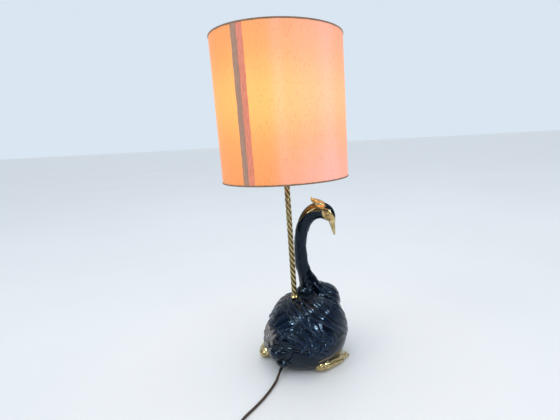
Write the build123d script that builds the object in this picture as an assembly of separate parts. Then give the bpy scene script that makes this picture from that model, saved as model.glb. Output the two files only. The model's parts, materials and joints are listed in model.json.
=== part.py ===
"""Table lamp: a hollow ceramic bird carries a rope-twist stem, an E27 lampholder and a cylinder shade.

Units are millimetres. +Z is up, +X is the way the beak points, and the origin is on the stem's
axis in the plane that the lamp stands on.
"""
import os
from math import cos, pi, radians, sin, tan

from build123d import *

# ---------------------------------------------------------------- driving dimensions
# ceramic bird
FELT_T = 2.0
BODY_X, BODY_Y = 18.0, 15.0            # vertical axis of the round body
BASE_R = 76.0
WALL = 6.0
FOOT_WALL = 8.0
RECESS_TOP = 44.0                      # underside of the casting's inner floor
FLOOR_T = 6.0
FLOOR_HOLE_R = 38.0
COLLAR_SEAT_Z = 171.0
COLLAR_SEAT_R = 11.0
FACING = 63.0                          # heading of the body and feet, from +X towards +Y

# clamp under the casting's inner floor
PLATE_R, PLATE_T = 48.0, 2.0
WASHER_R, WASHER_T = 10.0, 1.5
NUT_FLAT_R, NUT_H = 7.0, 5.0           # M10 lamp nut, half its 14 mm across flats

# stem
TUBE_R, TUBE_BORE_R = 5.0, 4.0         # M10 x 1 threaded tube
TUBE_Z0 = 31.0
STEM_HOLE_R = 5.4
LEAD_TOP_Z = 547.0
STEM_TOP = 526.0
COLLAR_R, COLLAR_NECK_R = 9.6, 7.6
COLLAR_TOP_Z = COLLAR_SEAT_Z + 7.0
UPPER_COLLAR_H = 6.0
ROPE_STRAND_OFFSET, ROPE_STRAND_R = 3.0, 4.0
ROPE_PITCH = 62.0
ROPE_BORE_R = 5.05
ROPE_STRANDS = 4

# lampholder and bulb
HOLDER_R = 20.0
HOLDER_Z = 536.0
CAP_TOP_Z = HOLDER_Z + 24.0
INSERT_Z0, INSERT_Z1 = HOLDER_Z + 12.0, HOLDER_Z + 26.0
SHELL_TOP_Z = HOLDER_Z + 58.0
LOCK_SCREW_R, LOCK_SCREW_Z = 1.5, HOLDER_Z + 6.0
TERMINAL_Y = 11.0
TONGUE_T = 0.5
THREAD_R, THREAD_BORE_R = 14.7, 13.9
RING_R, RING_H = 27.5, 6.0             # nuts on the holder's outer thread
UPPER_RING_H = 5.0
RING_RIBS = 24
BULB_TIP_Z = HOLDER_Z + 30.0
BULB_LENGTH = 105.0
BULB_R = 30.0
BULB_GLASS_T = 0.8
BULB_CAP_R = 13.3
LEAD_WIRE_R, FILAMENT_R = 0.35, 0.5
FILAMENT_HALF = 13.0
FITTER_Z = HOLDER_Z + 44.0
FITTER_R, FITTER_T = 29.5, 1.5
SPOKE_R = 1.5

# shade
SHADE_R = 149.4
SHADE_Z0, SHADE_Z1 = 477.0, 797.0
LINER_T, FABRIC_T, BINDING_T = 1.2, 0.7, 0.5
BINDING_H = 7.0
HEM_WIRE_R = 1.6
SEAM_ANGLE = -116.0
SEAM_W = 28.0

# mains cord
CORD_D = 6.0
CORD_Z = CORD_D / 2 + 0.1
EXIT_ANGLE = -100.0                    # heading of the cord where it leaves the casting
EXIT_X, EXIT_Y, EXIT_Z = -38.5, -52.0, 9.5
RELIEF_OUT, RELIEF_IN = 22.0, 23.0      # lengths outside and inside the exit point
RELIEF_BARREL_R, RELIEF_FLANGE_R = 4.6, 5.6

# in-line switch, its long side along X
SWITCH_L, SWITCH_W = 62.0, 25.0
SWITCH_SPLIT_Z, SWITCH_TOP_Z = 8.0, 16.0
SWITCH_X0, SWITCH_Y = -61.0, -278.5
SWITCH_WALL = 2.0
ROCKER_L, ROCKER_W = 20.0, 10.0
ROCKER_TILT = 10.0
ROCKER_GAP = 0.9
PIN_R = 1.0
PIN_Z = 12.5

# coil of spare cord
COIL_X, COIL_Y = 72.0, -318.5
COIL_R = 35.0                          # middle of the turns
COIL_HALF_W, COIL_Z0, COIL_Z1 = 13.7, 1.2, 13.4
COIL_OUTER_TURN_R, COIL_LAST_TURN_R = 45.5, 42.5
COIL_TURNS = 6.5
TIE_W, TIE_T = 6.0, 1.0
TIE_ANGLE = 200.0

# plug: flat two-pin, lying on its broad side
PLUG_Z = 7.0
PLUG_BACK_X, PLUG_Y = -2.0, -361.0
PLUG_L, PLUG_W, PLUG_H = 36.0, 27.0, 14.0
PLUG_PIN_R, PLUG_PIN_L, PLUG_PIN_SPACING = 2.0, 19.0, 18.6

EXIT = Vector(cos(radians(EXIT_ANGLE)), sin(radians(EXIT_ANGLE)), 0)
EXIT_POINT = Vector(EXIT_X, EXIT_Y, EXIT_Z)
RELIEF_TIP = EXIT_POINT + EXIT * RELIEF_OUT
SWITCH_X1 = SWITCH_X0 + SWITCH_L

# Routes of the free cord, laid out by hand.
RUN_ROUTE = [
    tuple(RELIEF_TIP),
    tuple(RELIEF_TIP + EXIT * 11),
    (-47.2, -98.5, 5.4),
    (-52.4, -113.0, CORD_Z),
    (-59.5, -134.0, CORD_Z),
    (-70.5, -160.0, CORD_Z),
    (-86.5, -189.0, CORD_Z),
    (-102.5, -213.0, CORD_Z),
    (-110.5, -232.5, CORD_Z),
    (-109.3, -252.3, CORD_Z),
    (-98.4, -269.2, 4.4),
    (-80.0, SWITCH_Y, SWITCH_SPLIT_Z),
    (SWITCH_X0, SWITCH_Y, SWITCH_SPLIT_Z),
]
LINK_ROUTE = [
    (SWITCH_X1, SWITCH_Y, SWITCH_SPLIT_Z),
    (14.0, SWITCH_Y, SWITCH_SPLIT_Z),
    (29.0, -277.4, 4.4),
    (45.0, -274.2, 4.2),
    (COIL_X - 8.0, COIL_Y + COIL_OUTER_TURN_R - 0.6, 4.2),
]
END_ROUTE = [
    (COIL_X - 8.0, COIL_Y - COIL_LAST_TURN_R + 0.4, 10.2),
    (49.0, -361.4, 9.6),
    (33.0, PLUG_Y, PLUG_Z),
    (PLUG_BACK_X + 22.0, PLUG_Y, PLUG_Z),
]


# ---------------------------------------------------------------- helpers
def at(x, y, z):
    """A place with no turn."""
    return Location((x, y, z))


def disc(radius, z0, z1, x=0.0, y=0.0):
    """Upright solid cylinder between two heights."""
    return at(x, y, (z0 + z1) / 2) * Cylinder(radius, z1 - z0)


def ring(outer, inner, z0, z1, x=0.0, y=0.0):
    """Upright tube between two heights."""
    return disc(outer, z0, z1, x, y) - disc(inner, z0 - 1, z1 + 1, x, y)


def block(x0, x1, y0, y1, z0, z1):
    """Box between two corners."""
    return at((x0 + x1) / 2, (y0 + y1) / 2, (z0 + z1) / 2) * Box(x1 - x0, y1 - y0, z1 - z0)


def rod_between(start, end, radius):
    """Round bar from one point to another."""
    start, end = Vector(start), Vector(end)
    return extrude(Plane(origin=start, z_dir=end - start) * Circle(radius), (end - start).length)


def lathe(outline, x=0.0, y=0.0):
    """Solid turned about an upright axis from an outline drawn in the XZ plane."""
    return at(x, y, 0) * revolve(make_face(outline), Axis.Z)


def egg(centre, half_sizes, heading=0.0):
    """Ellipsoid with its long axis turned to a heading."""
    return Location(centre, (0, 0, heading)) * scale(Sphere(1), by=half_sizes)


def neck_tube(stations):
    """Round tube of changing radius through a list of (centre, radius)."""
    centres = [Vector(centre) for centre, radius in stations]
    faces = []
    for i, (centre, radius) in enumerate(stations):
        ahead = centres[min(i + 1, len(centres) - 1)] - centres[max(i - 1, 0)]
        faces.append(Plane(origin=centre, z_dir=ahead, x_dir=(0, 1, 0)) * Circle(radius))
    return loft(faces)


def cord_tube(name, route):
    """Straight runs joined by tangent arcs, each as large as its two runs allow."""
    points = [Vector(p) for p in route]
    radii = []
    for before, here, after in zip(points, points[1:], points[2:]):
        turn = radians((here - before).get_angle(after - here))
        shorter = min((here - before).length, (after - here).length)
        radii.append(0.45 * shorter / tan(turn / 2))
    path = FilletPolyline(*points, radius=radii)
    tube = sweep(Plane(origin=points[0], z_dir=path % 0) * Circle(CORD_D / 2), path=path)
    expected = pi * CORD_D ** 2 / 4 * path.length
    print(name, "length", round(path.length, 1), "radii", [round(r) for r in radii])
    print(name, "volume over section times length", round(tube.volume / expected, 4))
    return tube, path.length


NODES = {}


def node(name, shape):
    """Keep a finished piece under its name."""
    NODES[name] = shape


# ---------------------------------------------------------------- ceramic bird
BODY_PROFILE = [(BASE_R, FELT_T), (90.0, 13.0), (104.0, 32.0), (108.0, 58.0), (105.5, 84.0),
                (98.5, 108.0), (83.0, 138.0), (56.0, 163.0), (27.0, 174.5), (0.0, 178.0)]


def body_solid(inset, floor_z, top_z=200.0):
    """The round body, or its hollow when inset, kept between two heights."""
    crown = BODY_PROFILE[-1][1]
    squeeze = (crown - inset - FELT_T) / (crown - FELT_T)
    points = [(max(r - inset, 0.0), FELT_T + (z - FELT_T) * squeeze) for r, z in BODY_PROFILE]
    with BuildLine(Plane.XZ) as outline:
        side = Spline(*points, tangents=[(0.5, 1), (-1, 0)])
        Line(side @ 1, (0, FELT_T))
        Line((0, FELT_T), side @ 0)
    return lathe(outline.line, BODY_X, BODY_Y) & disc(2 * BASE_R, floor_z, top_z, BODY_X, BODY_Y)


def folded_foot():
    """Right foot: the thigh's end, a dimpled hock, a shank and a flared web."""
    thigh = egg((50, -47, 26), (26, 22, 20), 40)
    hock = egg((60, -67, 15.5), (19, 14.5, 13), 40)
    shank = rod_between((66, -60, 12), (98, -33, 9), 7.0)
    web = egg((112, -16, 8.2), (24, 13, 5.8), 50)
    return thigh + hock + shank + web


def mirrored(shape):
    """The same shape on the bird's other side."""
    side = (sin(radians(FACING)), -cos(radians(FACING)), 0)
    return mirror(shape, about=Plane(origin=(0, 0, 0), z_dir=side))


OUTER_NECK = [((38, 42, 150), 34), ((31, 40, 182), 25), ((24, 38, 210), 18.5), ((19.5, 38, 250), 16.5),
              ((20, 38, 300), 15.5), ((27, 37, 345), 16), ((42, 34, 376), 18), ((66, 29, 390), 20),
              ((88, 24, 384), 20)]
INNER_NECK = [((38, 42, 146), 27), ((31, 40, 182), 19), ((24, 38, 210), 13), ((19.5, 38, 250), 11.5),
              ((20, 38, 300), 10.5), ((27, 37, 340), 10.5)]
BEAK = [((100, 19, 378), 13), ((106, 15, 358), 9), ((110, 12, 340), 5.5), ((111, 10, 330), 2.5)]


def make_bird():
    """Hollow casting: body shell, open foot recess, hollow neck, head, beak, crest and feet."""
    stem_hole = disc(STEM_HOLE_R, COLLAR_SEAT_Z - 30, COLLAR_SEAT_Z + 20)
    stem_hole += disc(COLLAR_SEAT_R, COLLAR_SEAT_Z, COLLAR_SEAT_Z + 20)
    neck_hollow = neck_tube(INNER_NECK)
    body_hollow = body_solid(WALL, RECESS_TOP + FLOOR_T)
    recess = body_solid(FOOT_WALL, FELT_T, RECESS_TOP)
    recess += disc(BASE_R - FOOT_WALL, FELT_T - 1, FELT_T + 1, BODY_X, BODY_Y)
    recess += disc(FLOOR_HOLE_R, RECESS_TOP - 1, RECESS_TOP + FLOOR_T + 1)
    recess += rod_between(EXIT_POINT - EXIT * 25, EXIT_POINT + EXIT * 40, RELIEF_BARREL_R)
    shell = body_solid(0, FELT_T) - stem_hole - body_hollow - recess - neck_hollow
    clear = body_solid(WALL - 1.0, RECESS_TOP + FLOOR_T)
    figure = shell + (neck_tube(OUTER_NECK) - neck_hollow - clear)
    figure += egg((72, 52, 141), (42, 40, 55), 20) - neck_hollow - clear
    figure += egg((88, 23, 386), (27, 19, 23))
    figure += neck_tube(BEAK)
    figure += egg((70, 27, 404), (17, 7, 12))
    inside = body_solid(FOOT_WALL - 1.0, FELT_T)
    foot = folded_foot()
    return figure + (foot - inside) + (mirrored(foot) - inside)


def make_relief():
    """Tapered sleeve round the cord, with a waist that sits in the casting's hole."""
    start = EXIT_POINT - EXIT * RELIEF_IN
    barrel = rod_between(start, EXIT_POINT, RELIEF_BARREL_R - 0.05)
    taper_faces = [Plane(origin=EXIT_POINT, z_dir=EXIT) * Circle(RELIEF_BARREL_R - 0.05),
                   Plane(origin=RELIEF_TIP, z_dir=EXIT) * Circle(CORD_D / 2 + 0.7)]
    inner_flange = rod_between(start - EXIT * 2.5, start, RELIEF_FLANGE_R)
    sleeve = barrel + loft(taper_faces) + inner_flange
    return sleeve - rod_between(start - EXIT * 5, RELIEF_TIP + EXIT * 5, CORD_D / 2)


def make_inner_lead():
    """Cord from the strain relief across the foot recess and up through the stem."""
    turn_in = EXIT_POINT - EXIT * 36
    under_stem = Vector(0, 0, EXIT_Z)
    top = Vector(0, 0, LEAD_TOP_Z)
    path = FilletPolyline(RELIEF_TIP, turn_in, under_stem, top, radius=[20, 18])
    return sweep(Plane(origin=RELIEF_TIP, z_dir=path % 0) * Circle(CORD_D / 2), path=path)


# ---------------------------------------------------------------- clamp and stem
def make_base():
    node("bird_casting", make_bird())
    node("base_felt", ring(BASE_R - 0.5, BASE_R - FOOT_WALL + 0.5, 0, FELT_T, BODY_X, BODY_Y))
    washer_top = RECESS_TOP - PLATE_T
    nut_top = washer_top - WASHER_T
    node("clamp_plate", ring(PLATE_R, TUBE_R, washer_top, RECESS_TOP))
    node("clamp_washer", ring(WASHER_R, TUBE_R, nut_top, washer_top))
    node("clamp_nut", hex_nut(nut_top - NUT_H, nut_top))
    node("strain_relief", make_relief())
    node("inner_lead", make_inner_lead())


def hex_nut(z0, z1):
    """Hexagon nut on the threaded tube."""
    body = extrude(Plane((0, 0, z0)) * RegularPolygon(NUT_FLAT_R, 6, major_radius=False), z1 - z0)
    return body - disc(TUBE_R, z0 - 1, z1 + 1)


def make_stem():
    node("threaded_tube", ring(TUBE_R, TUBE_BORE_R, TUBE_Z0, HOLDER_Z + 9))
    with BuildLine(Plane.XZ) as profile:
        Polyline((TUBE_R, COLLAR_SEAT_Z), (COLLAR_R, COLLAR_SEAT_Z), (COLLAR_R, COLLAR_SEAT_Z + 2.4),
                 (8.4, COLLAR_SEAT_Z + 4.4), (COLLAR_NECK_R, COLLAR_TOP_Z), (TUBE_R, COLLAR_TOP_Z),
                 close=True)
    node("lower_collar", lathe(profile.line))
    strands = Sketch() + Circle(ROPE_BORE_R + 0.4)
    for i in range(ROPE_STRANDS):
        strands += Rot(0, 0, i * 360 / ROPE_STRANDS) * Pos(ROPE_STRAND_OFFSET, 0) * Circle(ROPE_STRAND_R)
    strands -= Circle(ROPE_BORE_R)
    length = STEM_TOP - COLLAR_TOP_Z
    turns = -360 * length / ROPE_PITCH
    foot = (0, 0, COLLAR_TOP_Z)
    section = strands.face().moved(Location(foot))
    rope = Solid.extrude_linear_with_rotation(section, foot, (0, 0, length), turns)
    node("rope_sleeve", rope)
    with BuildLine(Plane.XZ) as profile:
        Polyline((TUBE_R, STEM_TOP), (COLLAR_NECK_R, STEM_TOP), (COLLAR_R, STEM_TOP + 3),
                 (COLLAR_R, STEM_TOP + UPPER_COLLAR_H), (TUBE_R, STEM_TOP + UPPER_COLLAR_H), close=True)
    node("upper_collar", lathe(profile.line))
    node("stem_nut", hex_nut(STEM_TOP + UPPER_COLLAR_H, HOLDER_Z))


# ---------------------------------------------------------------- lampholder
def make_holder():
    cap = disc(HOLDER_R, HOLDER_Z, CAP_TOP_Z) - disc(HOLDER_R - 2, HOLDER_Z + 3, CAP_TOP_Z + 1)
    cap = fillet(cap.edges().sort_by(Axis.Z)[0], 2.5)
    cap -= disc(TUBE_R, HOLDER_Z - 1, HOLDER_Z + 5)
    cap -= across(TUBE_R + 1, HOLDER_R + 3, LOCK_SCREW_R)
    node("holder_cap", cap)
    screw = across(TUBE_R + 0.1, HOLDER_R, LOCK_SCREW_R) + across(HOLDER_R, HOLDER_R + 1.6, 2.6)
    screw -= block(HOLDER_R + 0.9, HOLDER_R + 3, -3, 3, LOCK_SCREW_Z - 0.4, LOCK_SCREW_Z + 0.4)
    node("holder_lock_screw", screw)

    insert = disc(HOLDER_R - 2.2, INSERT_Z0, INSERT_Z1)
    screws = []
    for side in (-1, 1):
        y = side * TERMINAL_Y
        insert -= disc(2.0, INSERT_Z0 - 1, INSERT_Z0 + 7, 0, y)
        screws.append(disc(1.75, INSERT_Z0 - 1, INSERT_Z0 + 6, 0, y)
                      + disc(3.0, INSERT_Z0 - 3, INSERT_Z0 - 1, 0, y))
    node("holder_insert", insert)
    node("terminal_screws", Compound(screws))
    tongue_top = INSERT_Z1 + 3.2
    tongue = block(-9, 3, -2.5, 2.5, INSERT_Z1, INSERT_Z1 + TONGUE_T)
    tongue += block(3 - TONGUE_T, 3, -2.5, 2.5, INSERT_Z1, tongue_top)
    tongue += block(-3, 3, -2.5, 2.5, tongue_top - TONGUE_T, tongue_top)
    node("centre_contact", tongue)
    node("side_contact", block(11.2, 12.4, -2.5, 2.5, INSERT_Z1, INSERT_Z1 + 2))
    thread = ring(THREAD_R, THREAD_BORE_R, INSERT_Z1 + 2, INSERT_Z1 + 27)
    node("thread_shell", thread + ring(THREAD_R, 10.5, INSERT_Z1 + 2, INSERT_Z1 + 2.8))

    shell = ring(HOLDER_R - 0.6, HOLDER_R - 2.6, INSERT_Z1, SHELL_TOP_Z)
    shell += ring(HOLDER_R - 0.6, 15.4, SHELL_TOP_Z - 2, SHELL_TOP_Z)
    node("holder_shell", shell)
    node("shade_ring_lower", shade_ring(FITTER_Z - RING_H, FITTER_Z))
    upper_z = FITTER_Z + FITTER_T + 0.6
    node("shade_ring_upper", shade_ring(upper_z, upper_z + UPPER_RING_H))


def across(x0, x1, radius):
    """Round bar along X at the height of the holder's locking screw."""
    return rod_between((x0, 0, LOCK_SCREW_Z), (x1, 0, LOCK_SCREW_Z), radius)


def shade_ring(z0, z1):
    """Ribbed nut that grips the shade's fitter ring on the lampholder's thread."""
    body = ring(RING_R, HOLDER_R - 0.55, z0, z1)
    for i in range(RING_RIBS):
        body -= Rot(0, 0, i * 360 / RING_RIBS) * disc(0.9, z0 - 1, z1 + 1, RING_R + 0.5)
    return body


# ---------------------------------------------------------------- bulb
def make_bulb():
    tip = BULB_TIP_Z
    globe_z = tip + BULB_LENGTH - BULB_R
    node("bulb_tip", disc(4.5, tip, tip + 1.6) + disc(2.5, tip + 1.6, tip + 2.6))
    with BuildLine(Plane.XZ) as profile:
        Polyline((0, tip + 2.6), (2.5, tip + 2.6), (2.5, tip + 1.6), (5.6, tip + 1.6), (11.5, tip + 5.5),
                 (0, tip + 5.5), close=True)
    node("bulb_insulator", lathe(profile.line))
    cap = disc(BULB_CAP_R, tip + 5.5, tip + 27) - disc(BULB_CAP_R - 0.5, tip + 6, tip + 28)
    node("bulb_cap", cap)
    inner_r = BULB_R - BULB_GLASS_T
    with BuildLine(Plane.XZ) as profile:
        side = Spline((12.7, tip + 20), (14.0, tip + 36), (24.5, tip + 56), (BULB_R, globe_z),
                      tangents=[(0, 1), (0, 1)])
        crown = CenterArc((0, globe_z), BULB_R, 0, 90)
        inner_crown = CenterArc((0, globe_z), inner_r, 0, 90)
        inner = Spline((11.9, tip + 20), (13.2, tip + 36.2), (23.7, tip + 56.2), (inner_r, globe_z),
                       tangents=[(0, 1), (0, 1)])
        Line(crown @ 1, inner_crown @ 1)
        Line(side @ 0, inner @ 0)
    node("bulb_glass", lathe(profile.line))
    with BuildLine(Plane.XZ) as profile:
        Polyline((0, tip + 20.2), (10.5, tip + 20.2), (6, tip + 26), (3, tip + 32), (2.4, tip + 52),
                 (0, tip + 52), close=True)
    node("bulb_stem", lathe(profile.line))
    wires, filament = [], []
    for side in (-1, 1):
        lead_foot = (side * 2.0, 0, tip + 52.4)
        lead_top = (side * FILAMENT_HALF, 0, tip + 71.5)
        wires.append(rod_between(lead_foot, lead_top, LEAD_WIRE_R))
    wires.append(rod_between((0, 0, tip + 52), (0, 0, tip + 75.2), LEAD_WIRE_R))
    node("bulb_supports", Compound(wires))
    for side in (-1, 1):
        outer_end = (side * FILAMENT_HALF, 0, tip + 72.6)
        filament.append(rod_between(outer_end, (side * 0.7, 0, tip + 76.2), FILAMENT_R))
    node("bulb_filament", Compound(filament))


# ---------------------------------------------------------------- shade
def make_shade():
    fabric_in = SHADE_R - FABRIC_T
    liner_in = fabric_in - LINER_T
    z0, z1 = SHADE_Z0 + BINDING_T, SHADE_Z1 - BINDING_T
    node("shade_fabric", ring(SHADE_R, fabric_in, z0, z1))
    node("shade_liner", ring(fabric_in, liner_in, z0, z1))
    node("top_binding", binding(SHADE_Z1 - BINDING_H, SHADE_Z1, z1 - 20, z1))
    node("bottom_binding", binding(SHADE_Z0, SHADE_Z0 + BINDING_H, z0, z0 + 20))
    seam = ring(SHADE_R + 0.4, SHADE_R, SHADE_Z0 + BINDING_H, SHADE_Z1 - BINDING_H)
    slot = block(100, 200, -SEAM_W / 2, SEAM_W / 2, SHADE_Z0 - 1, SHADE_Z1 + 1)
    node("seam_ribbon", seam & (Rot(0, 0, SEAM_ANGLE) * slot))

    wire_ring_r = liner_in - BINDING_T - HEM_WIRE_R - 0.1
    top_ring = at(0, 0, z1 - 4) * Torus(wire_ring_r, HEM_WIRE_R)
    bottom_ring = at(0, 0, z0 + 4) * Torus(wire_ring_r, HEM_WIRE_R)
    fitter = ring(FITTER_R, HOLDER_R + 0.6, FITTER_Z + 0.3, FITTER_Z + 0.3 + FITTER_T)
    node("top_wire_ring", top_ring)
    node("bottom_wire_ring", bottom_ring)
    node("fitter_ring", fitter)
    spokes = []
    for angle in (90, 210, 330):
        spoke = rod_between((28.6, 0, FITTER_Z - 0.6), (wire_ring_r - 0.6, 0, z0 + 4.6), SPOKE_R)
        spoke = spoke - fitter - bottom_ring - ring(28.4, 10, FITTER_Z - 9, FITTER_Z + 0.3)
        spokes.append(Rot(0, 0, angle) * spoke.solids().sort_by(SortBy.VOLUME)[-1])
    node("fitter_spokes", Compound(spokes))


def binding(z0, z1, wall_z0, wall_z1):
    """Narrow tape folded over one rim of the shade."""
    wall = ring(SHADE_R, SHADE_R - FABRIC_T - LINER_T, wall_z0, wall_z1)
    return ring(SHADE_R + BINDING_T, SHADE_R - FABRIC_T - LINER_T - BINDING_T, z0, z1) - wall


# ---------------------------------------------------------------- cord, switch and plug
def make_switch():
    x0, x1 = SWITCH_X0, SWITCH_X1
    y0, y1 = SWITCH_Y - SWITCH_W / 2, SWITCH_Y + SWITCH_W / 2
    mid_x = (x0 + x1) / 2
    wall = SWITCH_WALL
    outside = fillet(block(x0, x1, y0, y1, 0, SWITCH_TOP_Z).edges(), 2.0)
    cavity = block(x0 + wall, x1 - wall, y0 + wall, y1 - wall, wall, SWITCH_TOP_Z - wall)
    window = block(mid_x - ROCKER_L / 2 - ROCKER_GAP, mid_x + ROCKER_L / 2 + ROCKER_GAP,
                   SWITCH_Y - ROCKER_W / 2 - ROCKER_GAP, SWITCH_Y + ROCKER_W / 2 + ROCKER_GAP,
                   SWITCH_TOP_Z - wall - 1, SWITCH_TOP_Z + 1)
    pin_len = SWITCH_W - 2 * wall
    pin = rod_between((mid_x, SWITCH_Y - pin_len / 2, PIN_Z), (mid_x, SWITCH_Y + pin_len / 2, PIN_Z), PIN_R)
    screws, shell = [], outside - cavity - window
    for end in (x0 + 8, x1 - 8):
        shell += disc(3.0, 1, SWITCH_TOP_Z - 1, end, SWITCH_Y + 7.2)
        screw = disc(1.2, 1.4, SWITCH_TOP_Z - 3, end, SWITCH_Y + 7.2) + disc(2.2, 0.4, 1.4, end, SWITCH_Y + 7.2)
        screws.append(screw)
    shell -= Compound(screws)
    for end in (x0 + 8, x1 - 8):
        shell -= disc(2.2, -1, 0.5, end, SWITCH_Y + 7.2)
    shell -= pin
    split = block(x0 - 5, x1 + 5, y0 - 5, y1 + 5, -5, SWITCH_SPLIT_Z)
    node("switch_base", shell & split)
    node("switch_cover", shell - split)
    node("switch_screws", Compound(screws))
    node("switch_pin", pin)

    rocker = block(-ROCKER_L / 2, ROCKER_L / 2, -ROCKER_W / 2, ROCKER_W / 2, -2.2, 5.6)
    dish = Pos(0, 0, 34.5) * Rot(90, 0, 0) * Cylinder(30.6, ROCKER_W + 2)
    rocker = fillet((rocker - dish).edges().filter_by(Axis.Z), 1.0)
    rocker = at(mid_x, SWITCH_Y, PIN_Z) * Rot(0, ROCKER_TILT, 0) * rocker
    node("switch_rocker", rocker - pin_hole(mid_x))
    contacts = []
    for side in (-1, 1):
        strip = block(mid_x - 14, mid_x + 14, SWITCH_Y + side * 4 - 1.2, SWITCH_Y + side * 4 + 1.2, 3.4, 4.2)
        strip += block(mid_x - 1.5, mid_x + 1.5, SWITCH_Y + side * 4 - 1.2, SWITCH_Y + side * 4 + 1.2, wall, 3.4)
        contacts.append(strip)
    node("switch_contacts", Compound(contacts))


def pin_hole(mid_x):
    """Hole in the rocker that runs on the pin."""
    y0, y1 = SWITCH_Y - SWITCH_W, SWITCH_Y + SWITCH_W
    return rod_between((mid_x, y0, PIN_Z), (mid_x, y1, PIN_Z), PIN_R + 0.05)


def make_cord():
    run, run_length = cord_tube("cord_run", RUN_ROUTE)
    link, link_length = cord_tube("cord_link", LINK_ROUTE)
    tail, tail_length = cord_tube("cord_end", END_ROUTE)
    coil = ring(COIL_R + COIL_HALF_W, COIL_R - COIL_HALF_W, COIL_Z0, COIL_Z1, COIL_X, COIL_Y)
    node("cord_run", run)
    node("cord_coil", fillet(coil.edges(), 2.5))
    node("cord_link", link - NODES["cord_coil"])
    node("cord_end", tail - NODES["cord_coil"])
    reach = COIL_HALF_W + TIE_T + 0.05
    tie = block(COIL_R - reach, COIL_R + reach, -TIE_W / 2, TIE_W / 2, COIL_Z0 - TIE_T, COIL_Z1 + TIE_T)
    tie -= block(COIL_R - COIL_HALF_W - 0.05, COIL_R + COIL_HALF_W + 0.05, -TIE_W, TIE_W, COIL_Z0, COIL_Z1)
    tie = at(COIL_X, COIL_Y, 0) * Rot(0, 0, TIE_ANGLE) * tie
    node("coil_tie", tie - NODES["cord_coil"])
    wound = COIL_TURNS * 2 * pi * COIL_R
    print("cord total", round(run_length + SWITCH_L + link_length + wound + tail_length))


def make_plug():
    x1 = PLUG_BACK_X
    x0 = x1 - PLUG_L
    y0, y1 = PLUG_Y - PLUG_W / 2, PLUG_Y + PLUG_W / 2
    body = block(x0, x1, y0, y1, PLUG_Z - PLUG_H / 2, PLUG_Z + PLUG_H / 2)
    body = chamfer(body.edges().filter_by(Axis.Z).group_by(Axis.X)[-1], 9, 9)
    body = fillet(body.edges().filter_by(Axis.Z), 2.0)
    body = chamfer(body.faces().sort_by(Axis.Z)[-1].edges() + body.faces().sort_by(Axis.Z)[0].edges(), 1.5)
    boot_faces = [Plane(origin=(x1 - 0.5, PLUG_Y, PLUG_Z), z_dir=(1, 0, 0)) * Circle(4.6),
                  Plane(origin=(x1 + 22, PLUG_Y, PLUG_Z), z_dir=(1, 0, 0)) * Circle(3.5)]
    boot = loft(boot_faces) - rod_between((x1, PLUG_Y, PLUG_Z), (x1 + 30, PLUG_Y, PLUG_Z), CORD_D / 2)
    node("plug_body", body + boot)
    pins = []
    for side in (-1, 1):
        y = PLUG_Y + side * PLUG_PIN_SPACING / 2
        pins.append(rod_between((x0, y, PLUG_Z), (x0 - PLUG_PIN_L, y, PLUG_Z), PLUG_PIN_R))
    node("plug_pins", Compound(pins))


make_base()
make_stem()
make_holder()
make_bulb()
make_shade()
make_switch()
make_cord()
make_plug()
os.makedirs("parts", exist_ok=True)
for name, shape in NODES.items():
    export_step(shape, "parts/" + name + ".step")
print(len(NODES), "nodes")
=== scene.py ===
"""Table lamp with a ceramic bird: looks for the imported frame. Metres, +Z up, +X the way the beak points.
Points are in millimetres; mesh_object, set_coords and spline_cord turn them into metres."""
import json
from math import cos, hypot, pi, radians, sin, sqrt

import bpy
import numpy as np
from mathutils import Matrix, Vector
from mathutils.bvhtree import BVHTree


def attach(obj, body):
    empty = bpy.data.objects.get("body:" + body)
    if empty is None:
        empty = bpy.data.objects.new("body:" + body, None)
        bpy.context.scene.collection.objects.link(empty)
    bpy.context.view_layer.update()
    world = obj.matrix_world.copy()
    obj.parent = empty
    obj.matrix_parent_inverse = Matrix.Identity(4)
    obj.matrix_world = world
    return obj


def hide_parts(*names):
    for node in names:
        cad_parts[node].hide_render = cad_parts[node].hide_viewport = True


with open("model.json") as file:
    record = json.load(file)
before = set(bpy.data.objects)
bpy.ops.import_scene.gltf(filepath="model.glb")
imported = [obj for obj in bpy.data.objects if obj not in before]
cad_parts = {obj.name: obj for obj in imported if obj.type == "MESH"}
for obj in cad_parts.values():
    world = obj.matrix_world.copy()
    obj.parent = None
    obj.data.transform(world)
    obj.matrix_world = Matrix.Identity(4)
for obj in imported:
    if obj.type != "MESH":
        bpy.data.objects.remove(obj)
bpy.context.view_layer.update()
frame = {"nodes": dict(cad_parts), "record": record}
NODES = frame["nodes"]
MM = 0.001
scene = bpy.context.scene


# ---------------------------------------------------------------- meshes
def link(obj):
    scene.collection.objects.link(obj)
    return obj


def mesh_object(name, verts, faces):
    """Smooth mesh object from vertices in millimetres."""
    me = bpy.data.meshes.new(name)
    me.from_pydata([tuple(float(c) * MM for c in v) for v in verts], [], faces)
    me.validate()
    me.update()
    me.shade_smooth()
    return link(bpy.data.objects.new(name, me))


def piece(obj, body, replaced, material):
    """Puts a finished piece on its body, in its material and in the place of CAD nodes."""
    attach(obj, body)
    if replaced:
        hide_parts(*replaced)
    obj.data.materials.clear()
    obj.data.materials.append(material)


def grid_faces(rows, cols, closed=True, ring=False):
    """Quads between the rows of a grid. Closed rows meet their start, a ring's last row meets its first."""
    faces, total = [], rows * cols
    for i in range(rows if ring else rows - 1):
        for j in range(cols if closed else cols - 1):
            a, b = i * cols + j, i * cols + (j + 1) % cols
            faces.append((a, b, (b + cols) % total, (a + cols) % total))
    return faces


def capped_faces(rows, cols):
    """Quads of a closed grid, with fans to two poles that follow the grid's vertices."""
    faces, pole, last = grid_faces(rows, cols), rows * cols, (rows - 1) * cols
    for j in range(cols):
        k = (j + 1) % cols
        faces += [(pole, k, j), (pole + 1, last + j, last + k)]
    return faces


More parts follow.
